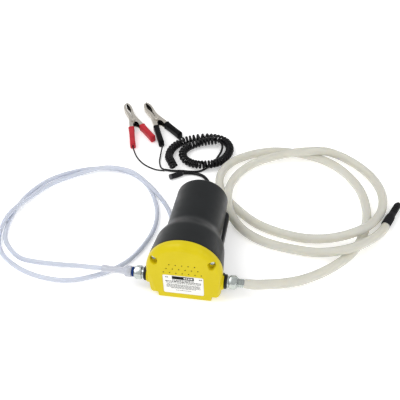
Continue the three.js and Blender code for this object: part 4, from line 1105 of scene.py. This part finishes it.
def reducer_tube():
    """Clear funnel with a thin wall, from the fitting down to the thin tube."""
    length = 0.037
    profile = [
        (0.0054, 0), (0.0065, 0), (0.0069, 0.0006), (0.0069, 0.0062), (0.0066, 0.0070), (0.0046, 0.0094),
        (0.0042, 0.0108), (0.0041, 0.02), (0.0042, 0.0300), (0.0047, 0.0345), (0.0047, length - 0.0004),
        (0.0043, length), (0.0031, length), (0.0031, 0.0115), (0.0035, 0.0100), (0.0055, 0.0068),
        (0.0056, 0.0006),
    ]
    funnel = turned_port("reducer_tube_look", [(r, REDUCER_START + along) for r, along in profile], -1,
                         FUNNEL_PLASTIC, 48)
    attach(funnel)
    return funnel


def suction_end():
    """Black angled end of the thick hose, cut off at a slant and slotted along its mouth."""
    start = Vector((0.2457, 0.1024, 0.0065))
    turn = radians(-22)
    direction = Vector((-sin(turn), cos(turn), 0))
    length = 0.029
    inner, groove, rib = 0.0052, 0.0056, 0.0062  # radii of the plug around the hose
    profile = [(inner, -0.0002), (inner, -PLUG_LENGTH), (groove, -PLUG_LENGTH)]
    ribs = 5
    pitch = PLUG_LENGTH / ribs
    shape = [(rib, 0.0008), (rib, 0.0014), (groove, 0.0020), (groove, pitch)]
    profile += repeated(shape, -PLUG_LENGTH, pitch, ribs)
    profile += [(groove, 0.0021), (0.0050, 0.0026), (0.0047, 0.0032), (0.0048, 0.010),
                (0.0047, length - 0.0012), (0.0043, length), (0.0033, length), (0.0033, 0.008), (0, 0.008),
                (0, -0.0002)]
    end = turned("suction_end_look", profile, start, direction, RUBBER, 48)
    across = Vector((direction.y, -direction.x, 0))
    slant = box_piece("slant", (-0.012, 0.012), (0.0, 0.024), (-0.02, 0.02))
    place = Matrix.Translation((-0.0044, length - 0.004, 0)) @ Matrix.Rotation(0.72, 4, "Z")
    local = Matrix((across, direction, Z_AXIS)).transposed().to_4x4()
    local.translation = start
    slant.data.transform(local @ place)
    cut(end, slant)
    slots, first, apart, width = 4, 0.0085, 0.0036, 0.0013
    for i in range(slots):
        near = first + i * apart
        slot = box_piece("slot", (-0.008, 0.008), (near, near + width), (0.0022, 0.02))
        slot.data.transform(local)
        cut(end, slot)
    fill_cut_faces(end, RUBBER)
    smooth(end, 30)
    attach(end)
    return end


# ---------- lead, gland and splice ----------
def cord_gland():
    """Tapered strain relief with ribs."""
    flange_r, neck_r = 0.0070, 0.0046
    profile = [(0, REAR - 0.006), (GLAND_R, REAR - 0.006), (GLAND_R, REAR + GAP),
               (flange_r - 0.0002, REAR + GAP), (flange_r, REAR + 0.0007), (flange_r, REAR + 0.0026),
               (flange_r - 0.0004, REAR + 0.0032), (neck_r, REAR + 0.0036)]
    ribs, pitch, narrowing = 5, 0.0028, 0.0003
    for i in range(ribs):
        start = REAR + 0.0046 + i * pitch
        radius = neck_r - i * narrowing
        profile += [(radius - 0.0008, start), (radius - 0.0008, start + 0.0008), (radius, start + 0.0011),
                    (radius - 0.0001, start + 0.0025)]
    profile += [(0.0031, REAR + 0.0190), (0.0030, REAR + 0.0196), (0.0026, REAR + 0.020), (0, REAR + 0.020)]
    gland = turned("cord_gland_look", profile, Vector((GLAND_X, 0, GLAND_Z)), Y_AXIS, RUBBER, 40, 30)
    attach(gland)
    return gland


def splice_sleeve():
    """Sleeve shrunk over the joint between the lead and the curly cord, with a blunt grey end."""
    start = Vector((-0.0467, 0.1581, 0.0042))
    end = Vector((-0.0635, 0.1473, 0.0042))
    direction = (end - start).normalized()
    length = (end - start).length
    body = [(0, 0), (0.0030, 0), (0.0034, 0.0003), (0.0036, 0.003), (0.0040, 0.0055), (0.0041, 0.009),
            (0.0039, 0.013), (0.0040, length - 0.0026), (0, length - 0.0026)]
    tip = [(0, length - 0.0026), (0.00405, length - 0.0026), (0.0041, length - 0.0006), (0.0037, length),
           (0.0020, length), (0.0017, length - 0.0008), (0, length - 0.0008)]
    sleeve = merge("splice_sleeve_look", [
        turned("body", body, start, direction, RUBBER, 40),
        turned("tip", tip, start, direction, GREY_END, 40),
    ])
    attach(sleeve)
    return sleeve


# ---------- battery clamps ----------
JAW_LENGTH = 0.049
SHEET = 0.0011
FIXED_HALF = 0.0043
MOVING_HALF = FIXED_HALF + SHEET + GAP
EAR_R = 0.005
RIVET_R = 0.002
LEAF_START, LEAF_END = 0.0175, 0.0465  # gap between the jaws
LEAF_HALF = 0.0027
SLEEVE_LOOKS = {"red": RED_SLEEVE, "black": BLACK_SLEEVE}


def bezier(a, b, c, d, t):
    u = 1 - t
    shares = (u**3, 3 * u * u * t, 3 * u * t * t, t**3)
    return tuple(sum(part * share for part, share in zip(parts, shares)) for parts in zip(a, b, c, d))


def outer_edge(handle_end):
    """Points (x, y) of an arm's outer edge from its tip back to its handle."""
    join = (SLEEVE_FROM, handle_y(SLEEVE_FROM) + HANDLE_HALF)
    spans = [((JAW_LENGTH, 0.0007), (0.0486, 0.0036), (0.043, 0.0063), (0.036, 0.0064)),
             ((0.036, 0.0064), (0.028, 0.0065), (0.022, 0.0052), (0.015, 0.0054)),
             ((0.015, 0.0054), (0.008, 0.0056), (0.0, 0.008), join)]
    edge = []
    for span in spans:
        edge += [bezier(*span, i / 22) for i in range(22)]
    back = 12
    for i in range(back + 1):
        x = SLEEVE_FROM + (handle_end - SLEEVE_FROM) * i / back
        edge.append((x, handle_y(x) + HANDLE_HALF))
    return edge


def inner_edge(x):
    """Inner edge of an arm's cheeks: handle, ear about the rivet, teeth and the leaf-shaped gap."""
    if x <= -0.009:
        return handle_y(x) - HANDLE_HALF
    if x < -EAR_R:
        share = (x + 0.009) / (0.009 - EAR_R)
        return (handle_y(-0.009) - HANDLE_HALF) * (1 - share)
    if x < EAR_R:
        return -sqrt(EAR_R**2 - x * x)
    if x < 0.013:
        return 0.0003 * (x - EAR_R) / (0.013 - EAR_R)
    tooth = 0.0003 + 0.0004 * abs(((x / 0.0016) % 1) * 2 - 1)
    if x < LEAF_START:
        return tooth
    if x < LEAF_END:
        return 0.0003 + LEAF_HALF * sin(pi * (x - LEAF_START) / (LEAF_END - LEAF_START))
    return min(tooth, 0.0005)


def arm_section(x, y_out, half):
    """Channel section of an arm at one place: a grooved web outside and a cheek above and below."""
    y_in = min(inner_edge(x), y_out - 0.0003)
    bend = min(0.0014, (y_out - y_in) * 0.45)
    groove = 0.0004 * ease(-0.014, -0.006, x) * (1 - ease(0.036, 0.044, x))
    points = [(y_in, half)]
    points += corner_arc(y_out - bend, half - bend, bend, 90, 0, 4)
    for z in (0.0028, 0.0023, 0.0018, 0.0005, 0.0, -0.0005, -0.0018, -0.0023, -0.0028):
        share = half / FIXED_HALF * 0.92
        depth = groove if abs(z) in (0.0, 0.0023) else 0.0
        points.append((y_out - depth, z * share))
    points += corner_arc(y_out - bend, -half + bend, bend, 0, -90, 4)
    points.append((y_in, -half))
    wall = max(y_out - SHEET, y_in + 0.0001)
    turn_y = max(wall - 0.0006, y_in + 0.00005)
    level = half - SHEET
    points += [(y_in, -level), (turn_y, -level), (wall, 0.0006 - level),
               (wall, level - 0.0006), (turn_y, level), (y_in, level)]
    return [(x, y, z) for y, z in points]


def clamp_arm(name, kind):
    handle_end = HANDLE_ENDS[kind]
    sections = []
    for x, y in outer_edge(handle_end):
        half = FIXED_HALF
        if kind == "moving":
            half += (MOVING_HALF - FIXED_HALF) * ease(SLEEVE_FROM - 0.001, SLEEVE_FROM + 0.005, x)
        sections.append(arm_section(x, y, half))
    arm = loft(name, sections, NICKEL, 40)
    # Faces inside the channel, between the cheeks, take the near-black painted shade instead of the nickel's
    # own colour.
    arm.data.materials.append(CHANNEL_PAINTED_SHADE)
    for face in arm.data.polygons:
        painted_shade_face = abs(face.center.z) < FIXED_HALF - SHEET + 0.0001
        if painted_shade_face and face.normal.y < 0.3 and abs(face.normal.x) < 0.7:
            face.material_index = 1
    return arm


def sleeve_ring(x, half_y, half_z, corner):
    outline = rounded_rectangle(-half_y, half_y, -half_z, half_z, corner, 0, 6)
    return [(-x, y, z) for y, z in outline]


def handle_sleeve(name, kind, material):
    """Dipped sleeve: a rolled mouth, a slight waist, and a squarely closed end."""
    length = sleeve_length(kind)
    body = (HANDLE_HALF + 0.0010, CLAMP_MID_Z - 0.0007, 0.0026)  # half width, half height, corner
    inside = (HANDLE_HALF + GAP, FIXED_HALF + GAP, 0.0006)
    rings = [(0.004, *inside), (0.0, *inside), (-0.0002, HANDLE_HALF + 0.0008, FIXED_HALF + 0.0008, 0.0014),
             (0.0001, HANDLE_HALF + 0.0013, FIXED_HALF + 0.0016, 0.0024),
             (0.0008, HANDLE_HALF + 0.0014, CLAMP_MID_Z - 0.0002, 0.0028),
             (0.0018, HANDLE_HALF + 0.0013, CLAMP_MID_Z - 0.0004, 0.0028), (0.0026, *body)]
    steps = 14
    for i in range(1, steps):
        share = i / steps
        waist = 0.0002 * sin(pi * share)
        rings.append((0.0026 + (length - 0.0042) * share, body[0] - waist, body[1] - waist, body[2]))
    rings += [(length - 0.0010, *body), (length - 0.0003, HANDLE_HALF + 0.0007, CLAMP_MID_Z - 0.0010, 0.0024),
              (length, HANDLE_HALF + 0.0001, CLAMP_MID_Z - 0.0016, 0.0020)]
    sections = [sleeve_ring(*ring) for ring in rings]
    sleeve = loft(name, sections, material, 50)
    turn = Matrix.Rotation(-atan(HANDLE_SLOPE), 4, "Z")
    turn = Matrix.Translation((SLEEVE_FROM, handle_y(SLEEVE_FROM), 0)) @ turn
    sleeve.data.transform(turn)
    return sleeve


def rivet(name):
    head = MOVING_HALF + GAP
    half = [(0.0012, head - 0.0009), (0.0013, head + 0.0001), (0.0017, head + 0.0005),
            (0.0026, head + 0.0006), (0.0033, head + 0.0004), (0.0036, head + 0.0001), (0.0036, head),
            (RIVET_R, head)]
    profile = [(r, -d) for r, d in half] + [(r, d) for r, d in reversed(half)]
    return turned(name, profile, Vector((0, 0, 0)), Z_AXIS, NICKEL, 40)


def clamp_spring(name):
    """Torsion spring: a coil about the rivet, with a leg towards each handle."""
    wire = 0.0011
    coil_r = 0.0035  # to the middle of the wire
    half = FIXED_HALF - SHEET - wire / 2 - 0.0001
    turns = 4.0
    steps = 96
    start = radians(160)
    points = [Vector((-0.0135, 0.0055, -half))]
    for i in range(steps + 1):
        share = i / steps
        angle = start - share * (turns * 2 * pi - radians(40))
        points.append(Vector((coil_r * cos(angle), coil_r * sin(angle), -half + 2 * half * share)))
    points.append(Vector((-0.0125, -0.0024, half)))
    return round_cord(name, points, wire, SPRING, 3)


def make_clamp(colour):
    """One clamp. Returns the sleeve on its fixed handle, which its wire enters."""
    (px, py), heading = CLAMPS[colour]
    place = Matrix.Translation((px, py, CLAMP_MID_Z)) @ Matrix.Rotation(radians(heading), 4, "Z")
    flip = Matrix.Rotation(pi, 4, "X")
    sleeves = []
    for kind, turn, body in (("fixed", Matrix(), "pump"), ("moving", flip, f"{colour}_jaw")):
        jaw = clamp_arm(f"{colour}_{kind}_jaw_look", kind)
        sleeves.append(handle_sleeve(f"{colour}_{kind}_sleeve_look", kind, SLEEVE_LOOKS[colour]))
        for piece, slot in ((jaw, "nickel_steel"), (sleeves[-1], f"{colour}_sleeve")):
            piece.data.transform(place @ turn)
            attach(piece, body)
    for piece, slot in ((rivet(f"{colour}_rivet_look"), "nickel_steel"),
                        (clamp_spring(f"{colour}_spring_look"), "spring_steel")):
        piece.data.transform(place)
        attach(piece)
    return sleeves[0]


# ---------- assembly ----------
front_cap()
rating_label()
motor_housing()
for side, word in ((-1, "left"), (1, "right")):
    cap_screw(side, word)
    port_collar(side, word)
    port_nipple(side, word)
    union_nut(side, word)
    hose_tail(side, word)
washer = blue_washer()
funnel = reducer_tube()
strainer = suction_end()
gland = cord_gland()
splice = splice_sleeve()
red_sleeve = make_clamp("red")
black_sleeve = make_clamp("black")

INNER_LOOKS = {
    "pump_cover": ALUMINIUM, "pump_body": ALUMINIUM, "pump_gasket": RUBBER, "shaft_seal": RUBBER,
    "drive_gear": GEAR_STEEL, "driven_gear": GEAR_STEEL, "gear_pin": GEAR_STEEL, "motor_shaft": GEAR_STEEL,
    "motor_front_plate": ZINC, "motor_can": ZINC, "front_bush": BRONZE, "rear_bush": BRONZE,
    "rotor_core": COPPER, "commutator": COPPER, "brush_plate": COLLAR_BLACK,
    "left_magnet": MAGNET, "right_magnet": MAGNET, "left_brush": MAGNET, "right_brush": MAGNET,
}
for node, look in INNER_LOOKS.items():
    mesh = bpy.data.objects[node].data
    mesh.materials.clear()
    mesh.materials.append(look)


# ---------- floor and light ----------
def add_floor():
    form = bmesh.new()
    bmesh.ops.create_grid(form, x_segments=1, y_segments=1, size=6)
    look = Look("floor", (0.98, 0.98, 0.98), 0.95, Specular_IOR_Level=0.1, Emission_Color=(1, 1, 1, 1),
                Emission_Strength=0.32)
    look.vary_colour((0.97, 0.97, 0.97), 8)
    floor = place_object("floor", mesh_of(form, "floor", look.material))
    floor.location.z = -0.0002


def add_area_light(name, place, target, size, power):
    data = bpy.data.lights.new(name, "AREA")
    data.size = size
    data.energy = power
    light = place_object(name, data)
    light.location = place
    light.rotation_mode = "QUATERNION"
    light.rotation_quaternion = (Vector(target) - Vector(place)).to_track_quat("-Z", "Y")


def add_world():
    world = bpy.data.worlds.new("studio")
    world.use_nodes = True
    background = world.node_tree.nodes["Background"]
    background.inputs["Color"].default_value = (1.0, 1.0, 1.0, 1)
    background.inputs["Strength"].default_value = 0.68
    bpy.context.scene.world = world


add_floor()
add_world()
add_area_light("key", (-0.7, -0.2, 1.2), (0, 0.05, 0), 0.8, 6.5)
add_area_light("fill", (0.9, -0.6, 0.9), (0, 0.05, 0), 0.8, 3)
bpy.context.scene.view_settings.view_transform = "Standard"
